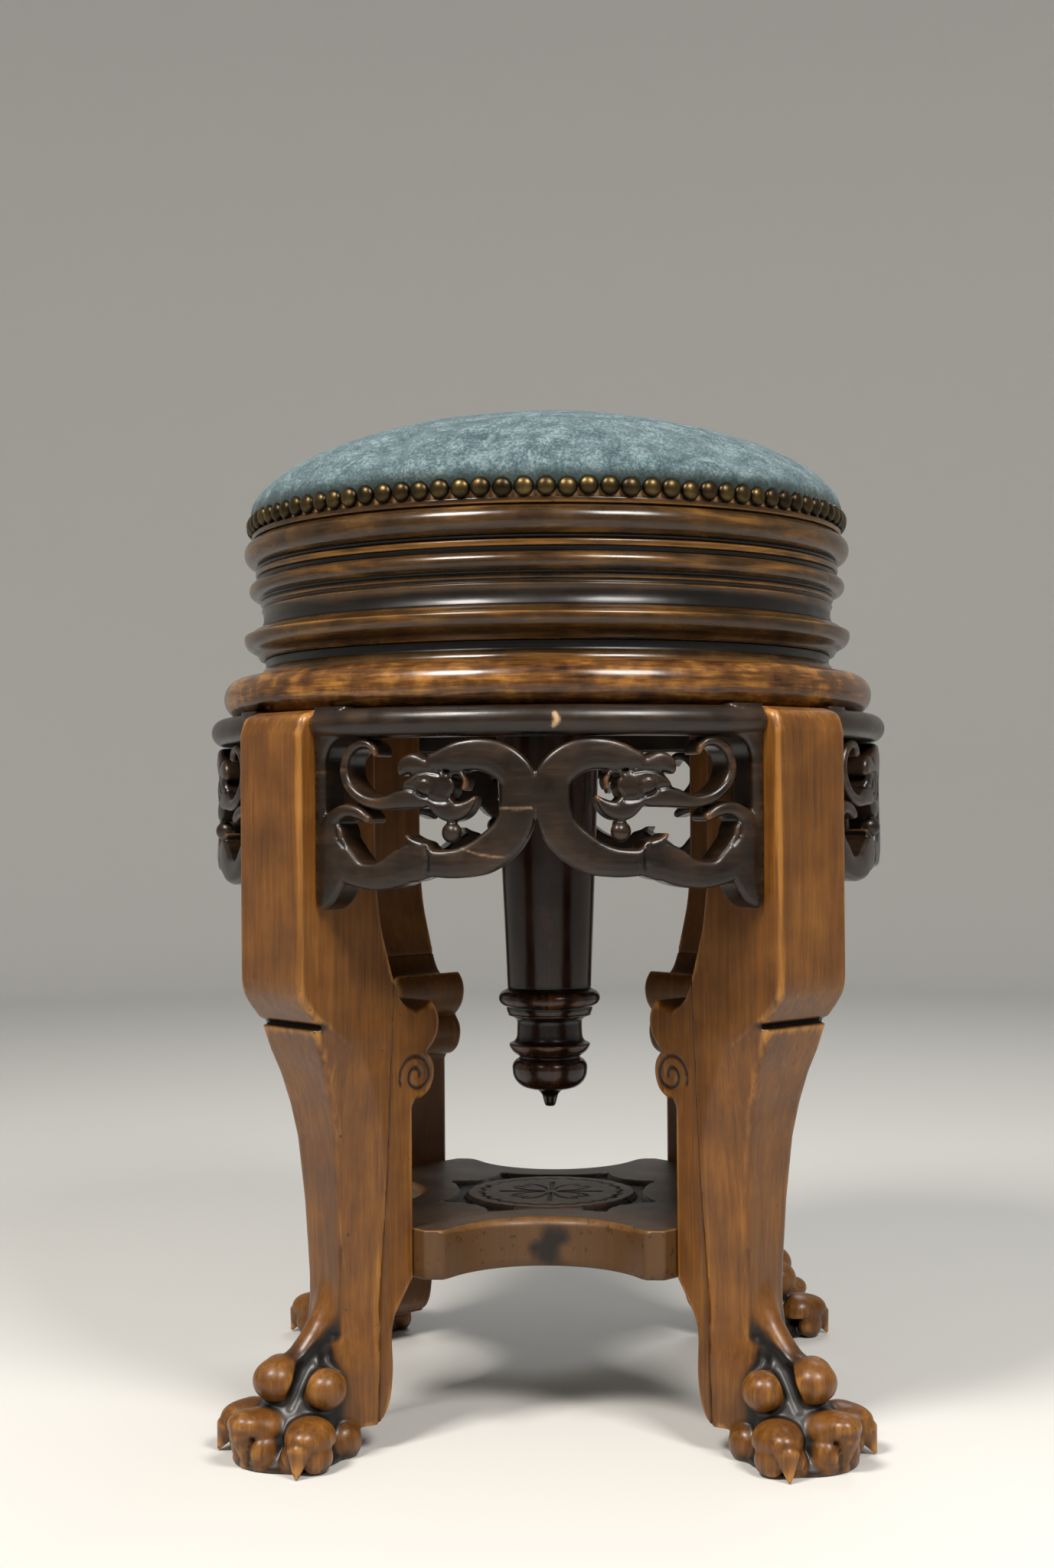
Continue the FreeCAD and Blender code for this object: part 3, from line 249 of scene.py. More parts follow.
legWood = makeWood("polished_walnut", legLook)
drumWood = makeWood("dark_stained_walnut", drumLook)
boardWood = makeWood("rubbed_walnut", boardLook)
apronWood = makeWood("ebonised_walnut", apronLook)
pendantWood = makeWood("reddish_stained_walnut", pendantLook)
shelfWood = makeWood("dull_stained_walnut", shelfLook)
innerWood = makeWood("plain_beech", innerLook)
nailBrass = makeBrass("antiqued_brass")
castIron = makeIron("black_iron", "#2b2b2c", 0.5)
brightSteel = makeIron("turned_steel", "#8b8b88", 0.32)
velvet = makeVelvet("cotton_velvet")
report("materials")


# Meshes

def outwards(points, faces):
    # The volume inside is a sixth of the sum of the triple products of the faces' corners. Where it
    # comes out negative, every face is turned round
    a, b, c, d = (points[faces[:, i]] for i in range(4))
    volume = np.einsum("ij,ij->", a, np.cross(b, c)) + np.einsum("ij,ij->", a, np.cross(c, d))
    return faces[:, ::-1] if volume < 0 else faces


def newObject(name, points, faces, material):
    # A smooth mesh from points in millimetres
    mesh = bpy.data.meshes.new(name)
    mesh.from_pydata((points * 0.001).tolist(), [], faces.tolist())
    mesh.polygons.foreach_set("use_smooth", np.ones(len(mesh.polygons), bool))
    mesh.materials.append(material)
    made = bpy.data.objects.new(name, mesh)
    scene.collection.objects.link(made)
    return made


def makePiece(name, points, faces, material, body, nodes, marks=None, weld=False):
    # A piece on its body, with a number at each point for each mark
    piece = newObject(name, points, outwards(points, faces), material)
    mesh = piece.data
    for mark, values in (marks or {}).items():
        mesh.attributes.new(mark, "FLOAT", "POINT").data.foreach_set("value", values.astype(np.float32))
    if weld:
        merged = bmesh.new()
        merged.from_mesh(mesh)
        bmesh.ops.remove_doubles(merged, verts=merged.verts, dist=1e-6)
        merged.to_mesh(mesh)
        merged.free()
    mesh.update()
    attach(piece, body)
    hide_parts(*nodes)
    return piece


def circle(turns):
    return np.arange(turns) * 2 * math.pi / turns


def swungRows(angle, radius, height, closed=False):
    # The point of every row at every angle round the axis, and the quads between them; a closed section
    # joins its last row to its first
    turns, count = radius.shape
    points = np.stack([radius * np.cos(angle)[:, None], radius * np.sin(angle)[:, None],
                       np.broadcast_to(height, radius.shape)], 2)
    i, j = np.meshgrid(np.arange(turns), np.arange(count if closed else count - 1), indexing="ij")
    nextI, nextJ = (i + 1) % turns, (j + 1) % count
    faces = np.stack([i * count + j, nextI * count + j, nextI * count + nextJ, i * count + nextJ], 2)
    return points.reshape(-1, 3), faces.reshape(-1, 4)


def swung(points, degrees):
    # The same points turned about the Z axis
    a = math.radians(degrees)
    turn = np.array([[math.cos(a), math.sin(a), 0], [-math.sin(a), math.cos(a), 0], [0, 0, 1]])
    return points @ turn


# Turned pieces: a line of (radius, height, bulge) corners as the chisel left it, swung round the axis.
# An edge with a bulge is an arc that rises bulge times its chord to the right of the way it runs.
lathe = {"step": 0.6, "turns": 288, "slimTurns": 144, "slim": 60.0, "wobble": 0.12, "wobbleAt": 170}


def denseLine(corners):
    # Arcs and straights sampled every step, then each arris rounded by averaging with its neighbours
    points = []
    for (x0, y0, bulge), (x1, y1, unused) in zip(corners, corners[1:]):
        chord = math.hypot(x1 - x0, y1 - y0)
        t = np.arange(0, 0.999, 1 / max(1, round(chord * (1 + 2 * bulge * bulge) / lathe["step"])))
        along, rise = t, t * 0
        if bulge:
            half = 2 * math.atan(2 * abs(bulge))
            sweep = (2 * t - 1) * half
            along = 0.5 + np.sin(sweep) / (2 * math.sin(half))
            rise = (np.cos(sweep) - math.cos(half)) / (2 * math.sin(half)) * math.copysign(1, bulge)
        points.append(np.stack([x0 + (x1 - x0) * along + (y1 - y0) * rise,
                                y0 + (y1 - y0) * along - (x1 - x0) * rise], 1))
    points.append(np.array([corners[-1][:2]], float))
    line = np.concatenate(points)
    for unused in range(2):
        line[1:-1] = line[1:-1] * 0.5 + (line[:-2] + line[2:]) * 0.25
    return line


def lineRelief(line, reach):
    # How far each point stands out from the average of the line within reach of it, along its normal
    count = max(1, round(reach / lathe["step"]))
    padded = np.concatenate([np.repeat(line[:1], count, 0), line, np.repeat(line[-1:], count, 0)])
    sums = np.concatenate([np.zeros((1, 2)), np.cumsum(padded, 0)])
    mean = (sums[2 * count + 1:] - sums[:-2 * count - 1]) / (2 * count + 1)
    along = np.gradient(line, axis=0)
    across = np.stack([along[:, 1], -along[:, 0]], 1) / np.linalg.norm(along, axis=1)[:, None]
    return np.einsum("ij,ij->i", line - mean, across)


def turnedPiece(name, line, marks, inner, material, body, nodes):
    # The outer line, closed behind by the inner corners, swung through a full turn, its radius breathing
    # a little as old wood does
    section = np.concatenate([line, np.array(inner, float)])
    turns = lathe["slimTurns"] if section[:, 0].max() < lathe["slim"] else lathe["turns"]
    angle = circle(turns)
    wave = np.sin(2 * angle + 0.7) + 0.6 * np.sin(5 * angle + section[:, 1].mean())
    radius = section[None, :, 0] * (1 + lathe["wobble"] * wave / lathe["wobbleAt"])[:, None]
    points, faces = swungRows(angle, radius, section[:, 1], True)
    spare = np.zeros(len(inner))
    marks = {mark: np.tile(np.concatenate([values, spare]), turns) for mark, values in marks.items()}
    makePiece(name, points, faces, material, body, nodes, marks, weld=section[:, 0].min() < 0.01)


def turnedStack(stack, material, body):
    # Pieces turned to one continuous outline, from the bottom up: the marks for worn, highlit arrises and
    # for dirty, shaded hollows are read from the whole outline, so that a bead's foot is a hollow even where the
    # next ring begins
    lines = [denseLine(part["outer"]) for part in stack]
    whole = np.concatenate(lines)
    relief, hollow = lineRelief(whole, 2.4) * 0.6, lineRelief(whole, 6.6) * 0.3
    start = 0
    for part, line in zip(stack, lines):
        span = slice(start, start + len(line))
        start += len(line)
        turnedPiece(part["name"], line, {"relief": relief[span], "hollow": hollow[span]}, part["inner"],
                    part.get("material", material), body, part["nodes"])


def nodeSpan(node):
    # Lowest and highest corner of a node of the frame, in millimetres
    return [[value * 1000 for value in corner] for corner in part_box(node)]


def heightOf(node, end):
    return nodeSpan(node)[end][2]


def shifted(rows, radius, height):
    # Rows of (out, up, bulge) as corners, counted from a radius and a height
    return [(radius + out, height + up, bulge) for out, up, bulge in rows]


drum = {"neck": 168.0, "inner": 148.0}


def drumRing(name, node, low, high, fromLow, fromHigh):
    # Corners count out from the neck, first up from the ring's foot and then down from its top
    return {"name": name, "nodes": [node], "inner": [(drum["inner"], high), (drum["inner"], low)],
            "outer": shifted(fromLow, drum["neck"], low) + shifted(fromHigh, drum["neck"], high)}


def makeDrum():
    # Four rings turned in one outline: hollow foot, ogee with a sharp arris, coved frieze and beaded cap
    levels = [heightOf(node, 0) for node in ("plinth_ring", "ogee_moulding", "frieze_moulding", "cap_moulding")]
    levels.append(heightOf("cap_moulding", 1))
    stack = [
        drumRing("drum_plinth", "plinth_ring", levels[0], levels[1],
                 [(-6, 0, 0), (0.5, 0, 0.12), (-0.8, 4, 0), (-2, 5.6, 0), (-2.5, 5.8, 0), (-2.5, 7, 0),
                  (-2.9, 7.3, 0), (-2.5, 7.6, 0)], [(-2.5, 0, 0)]),
        drumRing("drum_ogee", "ogee_moulding", levels[1], levels[2], [(-2.4, 0, 0), (0.7, 0, -0.12)],
                 [(6, -13, 0.12), (9.6, -7.5, 0.05), (9.4, -4.6, -0.1), (4.5, -2, 0), (0, 0, 0)]),
        drumRing("drum_frieze", "frieze_moulding", levels[2], levels[3], [(0, 0, -0.12)],
                 [(-0.8, -17.4, 0), (0, -16.6, 0), (-1.4, -15.8, 0), (-1.4, -14.4, 0), (0.2, -13.8, 0),
                  (0.2, -12.6, 0), (-0.6, -10.2, 0), (2.2, -9.8, 0.49), (2.2, -0.6, 0), (0.8, 0, 0)]),
        drumRing("drum_cap", "cap_moulding", levels[3], levels[4],
                 [(0.8, 0, 0), (0.8, 2.4, 0), (3, 2.6, 0), (3, 5.8, 0), (0.8, 6.4, 0)],
                 [(0.8, -18.6, 0), (2.2, -18.4, 0.49), (2.2, -3.6, 0), (2.2, -3, 0), (5, -3, 0), (5, 0, 0)]),
    ]
    turnedStack(stack, drumWood, "seat")


board = {"edge": 11.75, "flange": 42.05, "barrel": 18.45, "spigot": 31.05}


def makeBoard():
    # A round board with a full half-round edge, recessed for the iron nut above and the pendant below
    low, high = nodeSpan("ring_board")
    under, top, reach = low[2], high[2], high[0] - board["edge"]
    outer = [(reach - 6, under, 0), (reach, under, 0.49), (reach, top, 0), (reach - 6, top, 0)]
    inner = [(board["flange"], top), (board["flange"], top - 5), (board["barrel"], top - 5),
             (board["barrel"], under + 4), (board["spigot"], under + 4), (board["spigot"], under)]
    turnedStack([{"name": "top_board", "nodes": ["ring_board"], "inner": inner, "outer": outer}],
                boardWood, "base")


pendant = {"foot": 24.7, "waist": 27.5, "top": 31.0, "bore": 18.5, "deep": 136.0, "tenon": 8.0}


def makePendant():
    # Housing of the screw, a beaded collar, then the drop: neck, cup, bulb and a small flared tip
    foot, tenon, bore = pendant["foot"], pendant["tenon"], pendant["bore"]
    tip, collar = heightOf("pendant_drop", 0), heightOf("pendant_collar", 0)
    under, top = heightOf("screw_housing", 0), heightOf("screw_housing", 1)
    drop = [(-22.1, 0, 0), (-21.3, 1.5, 0), (-20.1, 6.5, -0.15), (-12.5, 10.7, 0.2), (-2.6, 21.5, 0.2),
            (-6.9, 28.7, 0), (-6.9, 30.1, 0), (-6.5, 30.1, 0.12), (-0.7, 36.5, 0), (-0.7, 37.3, -0.2)]
    cup = [(-5.4, -12.5, 0), (-5.6, -6, -0.2), (-2.7, -2.1, 0), (-2.7, -1.2, 0), (0, -1.2, 0), (0, 0, 0)]
    bead = [(0.8, -13.1, 0), (0.5, -11.3, 0.49), (0.5, -1.6, 0), (-0.4, 0, 0)]
    stack = [
        {"name": "pendant_knob", "nodes": ["pendant_drop"],
         "inner": [(tenon, collar), (tenon, collar + 26), (0, collar + 26)],
         "outer": [(0, tip, 0)] + shifted(drop, foot, tip) + shifted(cup, foot, collar)},
        {"name": "pendant_bead", "nodes": ["pendant_collar"], "inner": [(tenon, under), (tenon, collar)],
         "outer": [(foot, collar, 0)] + shifted(bead, foot, under)},
        {"name": "pendant_case", "nodes": ["screw_housing"],
         "inner": [(pendant["top"], top), (bore, top), (bore, top - pendant["deep"]), (0, top - pendant["deep"]),
                   (0, collar + 27), (tenon, collar + 27), (tenon, under)],
         "outer": [(foot, under, 0), (pendant["waist"], under + 67, 0), (pendant["top"], top - 4, 0)]},
    ]
    turnedStack(stack, pendantWood, "base")


screw = {"crest": 12.95, "root": 11.0, "pitch": 5.0, "starts": 2, "perTurn": 48, "perPitch": 10}


def makeScrew():
    # A two-start square-shouldered thread: the radius is a clipped wave of height minus turn
    bottom, top = heightOf("seat_screw", 0), heightOf("screw_plate", 1)
    rows = round((top - bottom) / screw["pitch"] * screw["perPitch"])
    angle = circle(screw["perTurn"])
    height = np.linspace(bottom, top, rows)
    wave = np.sin(2 * math.pi * height[None, :] / screw["pitch"] - screw["starts"] * angle[:, None])
    depth = np.clip(wave * 2.2, -1, 1) * 0.5 + 0.5
    radius = screw["root"] + (screw["crest"] - screw["root"]) * depth
    radius[:, 0] = radius[:, -1] = screw["root"]
    # Two more rows on the axis close the ends
    radius = np.concatenate([radius, np.zeros((len(angle), 2))], 1)
    points, faces = swungRows(angle, radius, np.concatenate([height, [top, bottom]]), True)
    makePiece("threaded_screw", points, faces, brightSteel, "seat", ["seat_screw"], weld=True)


makeDrum()
makeBoard()
makePendant()
makeScrew()
report("turned pieces")


# Carved pieces are solids given by a field, which is the distance to their surface and negative inside,
# sampled on a grid; the mesh follows where it is zero.

def rounded(first, second, radius):
    # The space inside both fields, its edge rounded to the radius
    edge = np.hypot(np.maximum(first + radius, 0), np.maximum(second + radius, 0))
    return np.minimum(np.maximum(first, second), -radius) + edge


def joined(first, second, soft):
    # The space inside either field, with a fillet where they meet
    share = np.clip(0.5 + 0.5 * (second - first) / soft, 0, 1)
    return second * (1 - share) + first * share - soft * share * (1 - share)


def scooped(field, tool, soft):
    return -joined(-field, tool, soft)


def peg(x, y, z, start, end, thick, thin):
    # Distance to a round bar from start to end whose radius runs from thick to thin
    ax, ay, az = start
    bx, by, bz = (e - s for s, e in zip(start, end))
    t = np.clip(((x - ax) * bx + (y - ay) * by + (z - az) * bz) / (bx * bx + by * by + bz * bz), 0, 1)
    away = np.sqrt((x - ax - bx * t) ** 2 + (y - ay - by * t) ** 2 + (z - az - bz * t) ** 2)
    return away - (thick + (thin - thick) * t)


def egg(x, y, z, centre, radii):
    # Nearly the distance to an ellipsoid: k (k - 1) / g, with k and g the lengths of p/r and p/r squared
    parts = [(value - c, r) for value, c, r in zip((x, y, z), centre, radii)]
    k = np.sqrt(sum((p / r) ** 2 for p, r in parts))
    g = np.sqrt(sum((p / (r * r)) ** 2 for p, r in parts))
    return k * (k - 1) / np.maximum(g, 1e-6)


def through(points, steps=12):
    # A smooth curve through points of any number of values: Catmull and Rom's cubic between each pair
    p = np.array(points, float)
    p = np.concatenate([2 * p[:1] - p[1:2], p, 2 * p[-1:] - p[-2:-1]])
    t = np.linspace(0, 1, steps, endpoint=False)[:, None]
    spans = [0.5 * (2 * b + (c - a) * t + (2 * a - 5 * b + 4 * c - d) * t * t + (3 * b - a - 3 * c + d) * t ** 3)
             for a, b, c, d in zip(p, p[1:], p[2:], p[3:])]
    return np.concatenate(spans + [p[-2:-1]])


def outlineOf(runs):
    # Runs of points: two points are a straight, more are a curve
    return np.concatenate([(np.array(run, float) if len(run) == 2 else through(run, 8))[:-1] for run in runs])


def outlineField(outline, across, up):
    # Distance to a closed outline, negative inside, where a ray to the right crosses it an odd number of times
    nearest = np.full(np.broadcast(across, up).shape, 1e9)
    odd = np.zeros(nearest.shape, bool)
    for (x0, y0), (x1, y1) in zip(outline, np.roll(outline, -1, 0)):
        dx, dy = x1 - x0, y1 - y0
        t = np.clip(((across - x0) * dx + (up - y0) * dy) / (dx * dx + dy * dy), 0, 1)
        nearest = np.minimum(nearest, (across - x0 - dx * t) ** 2 + (up - y0 - dy * t) ** 2)
        if dy:
            odd ^= ((up >= y0) != (up >= y1)) & (across < x0 + (up - y0) * dx / dy)
    return np.sqrt(nearest) * np.where(odd, -1, 1)


def discField(discs, across, up):
    # Distance to the nearest of many discs of (across, up, width)
    nearest = np.full(np.broadcast(across, up).shape, 1e9)
    for x, y, width in discs:
        nearest = np.minimum(nearest, np.hypot(across - x, up - y) - width / 2)
    return nearest


def strokeField(strokes, across, up):
    # Distance to strokes of a brush: curves of (across, up, width), each a row of touching discs
    return discField(np.concatenate([through(stroke) for stroke in strokes]), across, up)


def blurred(grid, cells):
    # The mean over a box, twice, along each axis in turn
    for axis in (0, 1, 2) * 2:
        grid = np.moveaxis(grid, axis, 0)
        padded = np.concatenate([np.repeat(grid[:1], cells + 1, 0), grid, np.repeat(grid[-1:], cells, 0)])
        sums = np.cumsum(padded, 0, dtype=np.float64)
        grid = ((sums[2 * cells + 1:] - sums[:-2 * cells - 1]) / (2 * cells + 1)).astype(np.float32)
        grid = np.moveaxis(grid, 0, axis)
    return grid


def sampled(grid, index):
    # The grid's value at fractional indices, blended from the eight values around
    base = np.floor(index).astype(int)
    part = index - base
    value = 0
    for corner in range(8):
        step = np.array([corner & 1, corner >> 1 & 1, corner >> 2 & 1])
        weight = np.prod(np.where(step, part, 1 - part), axis=1)
        value = value + weight * grid[tuple((base + step).T)]
    return value


def netOf(field):
    # One point in each cell that the surface crosses, at the mean of the crossings on its edges, and a
    # quad round each grid edge that it crosses. Points are in grid indices
    inside = field < 0
    count = sum(inside[i:i - 1 or None, j:j - 1 or None, k:k - 1 or None].astype(np.int8)
                for i in (0, 1) for j in (0, 1) for k in (0, 1))
    cells = np.argwhere((count > 0) & (count < 8))
    number = np.full(count.shape, -1)
    number[tuple(cells.T)] = np.arange(len(cells))
    total, crossings = np.zeros((len(cells), 3)), np.zeros(len(cells))
    quads = []
    for axis in range(3):
        one, two = (axis + 1) % 3, (axis + 2) % 3
        unit = np.eye(3, dtype=int)
        for first in (0, 1):
            for second in (0, 1):
                start = cells + unit[one] * first + unit[two] * second
                a, b = field[tuple(start.T)], field[tuple((start + unit[axis]).T)]
                crossed = (a < 0) != (b < 0)
                t = np.where(crossed, a / np.where(crossed, a - b, 1), 0)
                total += crossed[:, None] * (start + unit[axis] * t[:, None])
                crossings += crossed
        low, high = (np.take(inside, range(start, inside.shape[axis] - 1 + start), axis) for start in (0, 1))
        edges = np.argwhere(low != high)
        edges = edges[(edges[:, one] > 0) & (edges[:, two] > 0)]
        edges = edges[(edges[:, one] < count.shape[one]) & (edges[:, two] < count.shape[two])]
        round4 = [edges - unit[one] - unit[two], edges - unit[two], edges, edges - unit[one]]
        ring = np.stack([number[tuple(cell.T)] for cell in round4], 1)
        quads.append(np.where(low[tuple(edges.T)][:, None], ring, ring[:, ::-1]))
    return total / crossings[:, None], np.concatenate(quads)


def sculpted(field, axes, reach=(2, 7)):
    # The mesh of a field in the axes' own units, with marks read from how full the solid is nearby: over
    # a short reach for worn arrises that also carry a painted highlight, over a long one for hollows that also
    # carry painted shade
    index, quads = netOf(field)
    cell = np.median([np.median(np.diff(axis)) for axis in axes])
    full = np.clip(0.5 - field / cell, 0, 1).astype(np.float32)
    near, far = (sampled(blurred(full, cells), index) for cells in reach)
    points = np.stack([np.interp(index[:, i], np.arange(len(axes[i])), axes[i]) for i in range(3)], 1)
    return points, quads, {"relief": (0.5 - near) * 2, "hollow": (0.5 - far) * 1.2}


# Legs. Each is drawn standing on +X: u runs out from the stool's axis, w across, z up. A leg's outer
# stave carries the paw and its inner stave, the bracket, the volute.
corners = {"front_left": 225, "front_right": 315, "back_right": 45, "back_left": 135}
leg = {"inner": 126.5, "topInner": 150.0, "half": 27.0, "notch": 227.0, "slit": 227.9,
       "arris": 3.4, "jointArris": 0.5,
       # height, how far out the face stands, half the face's width
       "shaft": [(227, 190.6, 24.6), (213, 185.9, 23.6), (200, 180.3, 22.2), (183, 175.2, 20.6),
                 (165, 171.8, 18.7), (130, 168.7, 16.6), (90, 167.5, 14.3), (75, 167.5, 14.3), (62, 169.5, 14.6),
                 (50, 172, 16), (40, 172, 18), (15, 172, 20)]}


def jointLine(z):
    # The glue line between the staves slants in towards the top
    return leg["inner"] + 12.8 + 11.7 * (249 - z) / 234


def chain(x, y, z, knots, soft):
    # Pegs from knot to knot, each of them (x, y, z, radius), with a fillet where they meet
    pegs = [peg(x, y, z, start[:3], end[:3], start[3], end[3]) for start, end in zip(knots, knots[1:])]
    field = pegs[0]
    for following in pegs[1:]:
        field = joined(field, following, soft)
    return field


# A toe's parts, the outer ones with w counted towards their own side: a round knuckle, a hood cut flat
# underneath with its height and fall, the claw below it, and pads. Eggs are (centre, radii).
middleToe = {"knuckle": ((198.8, 0, 42), (12.6, 12.4, 11)), "under": (14, 208, 0.3),
             "hood": [((207.5, 0, 19), (14.5, 13.6, 10.6)), ((218.5, 0, 23), (9.5, 9.5, 7))],
             "claw": [(220.5, 0, 18, 7.0), (218.4, 0, 1.4, 1.2)],
             "pads": [((210.5, 8.2, 9.5), (10.5, 7.2, 9.8)), ((210.5, -8.2, 9.5), (10.5, 7.2, 9.8))]}
outerToe = {"knuckle": ((181.6, 20, 37.8), (11.6, 10.8, 10.8)), "under": (12.8, 208, 0),
            "hood": [((195.5, 25, 16.5), (13.6, 13.2, 10.6)), ((203.5, 29.5, 17), (9, 9, 7.6))],
            "claw": [(207.6, 31.6, 12.5, 6.8), (211.8, 34.6, 1.3, 1.1)],
            "pads": [((203, 23.6, 8.2), (9, 6.8, 8.6)), ((197, 33.0, 8.2), (9, 6.4, 8.6)),
                     ((169.4, 20, 8), (10, 8, 10))]}


def toeField(u, w, z, toe):
    under, bend, fall = toe["under"]
    hood = joined(*(egg(u, w, z, *part) for part in toe["hood"]), 4)
    hood = rounded(hood, under + (u - bend) * fall - z, 1.2)
    pads = np.minimum.reduce([egg(u, w, z, *part) for part in toe["pads"]])
    toes = joined(joined(egg(u, w, z, *toe["knuckle"]), hood, 1.5), pads, 0.8)
    return np.minimum(toes, chain(u, w, z, toe["claw"], 1))


def toesField(u, w, z):
    return np.minimum(np.minimum(toeField(u, w, z, middleToe), toeField(u, w, z, outerToe)),
                      toeField(u, -w, z, outerToe))


def sinewField(u, w, z):
    # The hollow between two tendons starts as a scratch on the shaft's arris and widens to the toes
    knots = [(168.4, 15.4, 108, 0.9), (173, 13.4, 64, 5.0), (188, 11.6, 49, 5.0), (200, 13.4, 31, 3.0)]
    return chain(u, np.abs(w), z, knots, 0.01)


def legField(u, w, z):
    outline = outlineOf([
        [(jointLine(214), 214), (170, 214)], [(170, 214), (187, 228.4)], [(187, 228.4), (191, 230.4)],
        [(191, 230.4), (197.2, 238), (201.2, 244.5), (202.4, 252)], [(202.4, 252), (202.4, 382)],
        [(202.4, 382), (198.9, 390.5), (190.4, 394)], [(190.4, 394), (leg["topInner"], 394)],
        [(leg["topInner"], 394), (leg["topInner"], 304)],
        [(leg["topInner"], 304), (148.4, 292), (146.9, 280), (144.4, 268), (139.3, 249)],
        [(139.3, 249), (jointLine(214), 214)]])
    shape = outlineField(outline, u[:, 0, :], z[:, 0, :])[:, None, :]
    nearJoint = np.clip((u - jointLine(z) - 3) / 8, 0, 1)
    arris = leg["jointArris"] + (leg["arris"] - leg["jointArris"]) * nearJoint
    plank = rounded(shape, np.abs(w) - leg["half"], arris)
    heights, faces, halves = np.array(leg["shaft"][::-1], float).T
    face, half = np.interp(z, heights, faces), np.interp(z, heights, halves)
    slope = np.arctan2(leg["half"] - half, 24)
    flank = (np.abs(w) - half) * np.cos(slope) - (face - u) * np.sin(slope)
    flank = np.maximum(flank, np.abs(w) - leg["half"])
    shaft = rounded(u - face, flank, np.minimum(3.2, half * 0.25))
    shaft = rounded(shaft, jointLine(z) - u, 0.5)
    shaft = np.maximum(shaft, np.maximum(z - leg["notch"], 14 - z))
    body = joined(plank, shaft, 1.0)
    # A saw cut under the plank runs across the outer face
    body = scooped(body, np.maximum(np.abs(z - leg["slit"]) - 1.35, 187.2 - u), 0.5)
    away = np.hypot(u - 191, w)
    sole = rounded(away - (31 - 5 * z / 8), np.abs(z - 4.5) - 4.5, 3)
    instep = peg(u, w, z, (187, 0, 11), (178, 0, 33), 25, 18.5)
    tendon = chain(u, w, z, [(160, 0, 82, 7.5), (171, 0, 61, 8.4), (184, 0, 46.5, 9.4), (197, 0, 42, 11)], 2)
    foot = joined(joined(sole, instep, 5), tendon, 5)
    body = joined(body, foot, 5)
    body = joined(body, toesField(u, w, z), 2.8)
    body = scooped(body, sinewField(u, w, z), 1.6)
    return np.maximum(body, -z)


def spaced(start, stops):
    # Grid lines from start on, with (stop, step) runs
    lines = [start]
    for stop, step in stops:
        count = max(1, round((stop - lines[-1]) / step))
        lines.extend(np.linspace(lines[-1], stop, count + 1)[1:])
    return np.array(lines)


def near(value, centre, width):
    # 1 on the centre, falling to 0 at width
    return np.clip(1 - np.abs(value - centre) / width, 0, 1)


def makeLegs():
    axes = [spaced(136, [(236, 1.08)]), spaced(-44.1, [(44.1, 1.08)]),
            spaced(-2.1, [(74, 1.08), (112, 1.8), (222, 2.4), (254, 1.3), (376, 3.4), (397, 1.3)])]
    u, w, z = np.meshgrid(*axes, indexing="ij", sparse=True)
    shape = np.broadcast_arrays(u, w, z)
    points, quads, marks = sculpted(legField(*shape), axes)
    u, w, z = points.T
    # Painted shade in the saw cut under the plank
    slit = near(z, leg["slit"], 3.0) * np.clip((u - 182) / 5, 0, 1)
    # In the web between the toes and in every hollow of the foot the colour goes black: old polish, and painted
    # shade
    low = np.clip((116 - z) / 20, 0, 1)
    valley = np.clip((-marks["relief"] - 0.08) / 0.3, 0, 1) + np.clip((-marks["hollow"] - 0.03) / 0.2, 0, 1) * 0.8
    offToes = np.clip((toesField(u, w, z) - 0.4) / 2.2, 0, 1) * np.clip((62 - z) / 10, 0, 1)
    web = offToes * np.clip((u - 166 - np.clip(np.abs(w) - 14, 0, 20) * 0.4) / 9, 0, 1)
    # Painted shade round the foot of the sole, where it meets the floor
    sole = np.clip((5.5 - z) / 3, 0, 1) * 0.8 * (u + np.abs(w) * 0.5 < 217)
    # Painted shade down the sinew hollows
    sinew = np.clip(1.2 - sinewField(u, w, z) / 1.2, 0, 1) * 0.9
    marks["inkAndShade"] = np.clip(slit * 1.4 + valley * low * 0.9 + web * 0.93 + sole + sinew, 0, 1)
    atJoint = near(u, jointLine(z), 5) * (z < 249)
    marks["relief"] *= 1 - atJoint
    for corner, angle in corners.items():
        makePiece("leg_stave_" + corner, swung(points, angle), quads, legWood, "base",
                  ["leg_" + corner], marks)


volute = {"centre": (124.0, 197.5), "outer": 12.0, "eye": 2.0, "turns": 1.6, "depth": 1.1, "width": 0.95}


def voluteField(across, up):
    # Distance to a spiral whose radius shrinks evenly with its turn
    t = np.linspace(0, 1, 90)
    turn = math.radians(-20) + t * volute["turns"] * 2 * math.pi
    radius = volute["outer"] + (volute["eye"] - volute["outer"]) * t
    x, y = volute["centre"][0] + radius * np.cos(turn), volute["centre"][1] + radius * np.sin(turn)
    return discField(np.stack([x, y, 0 * t], 1), across, up)


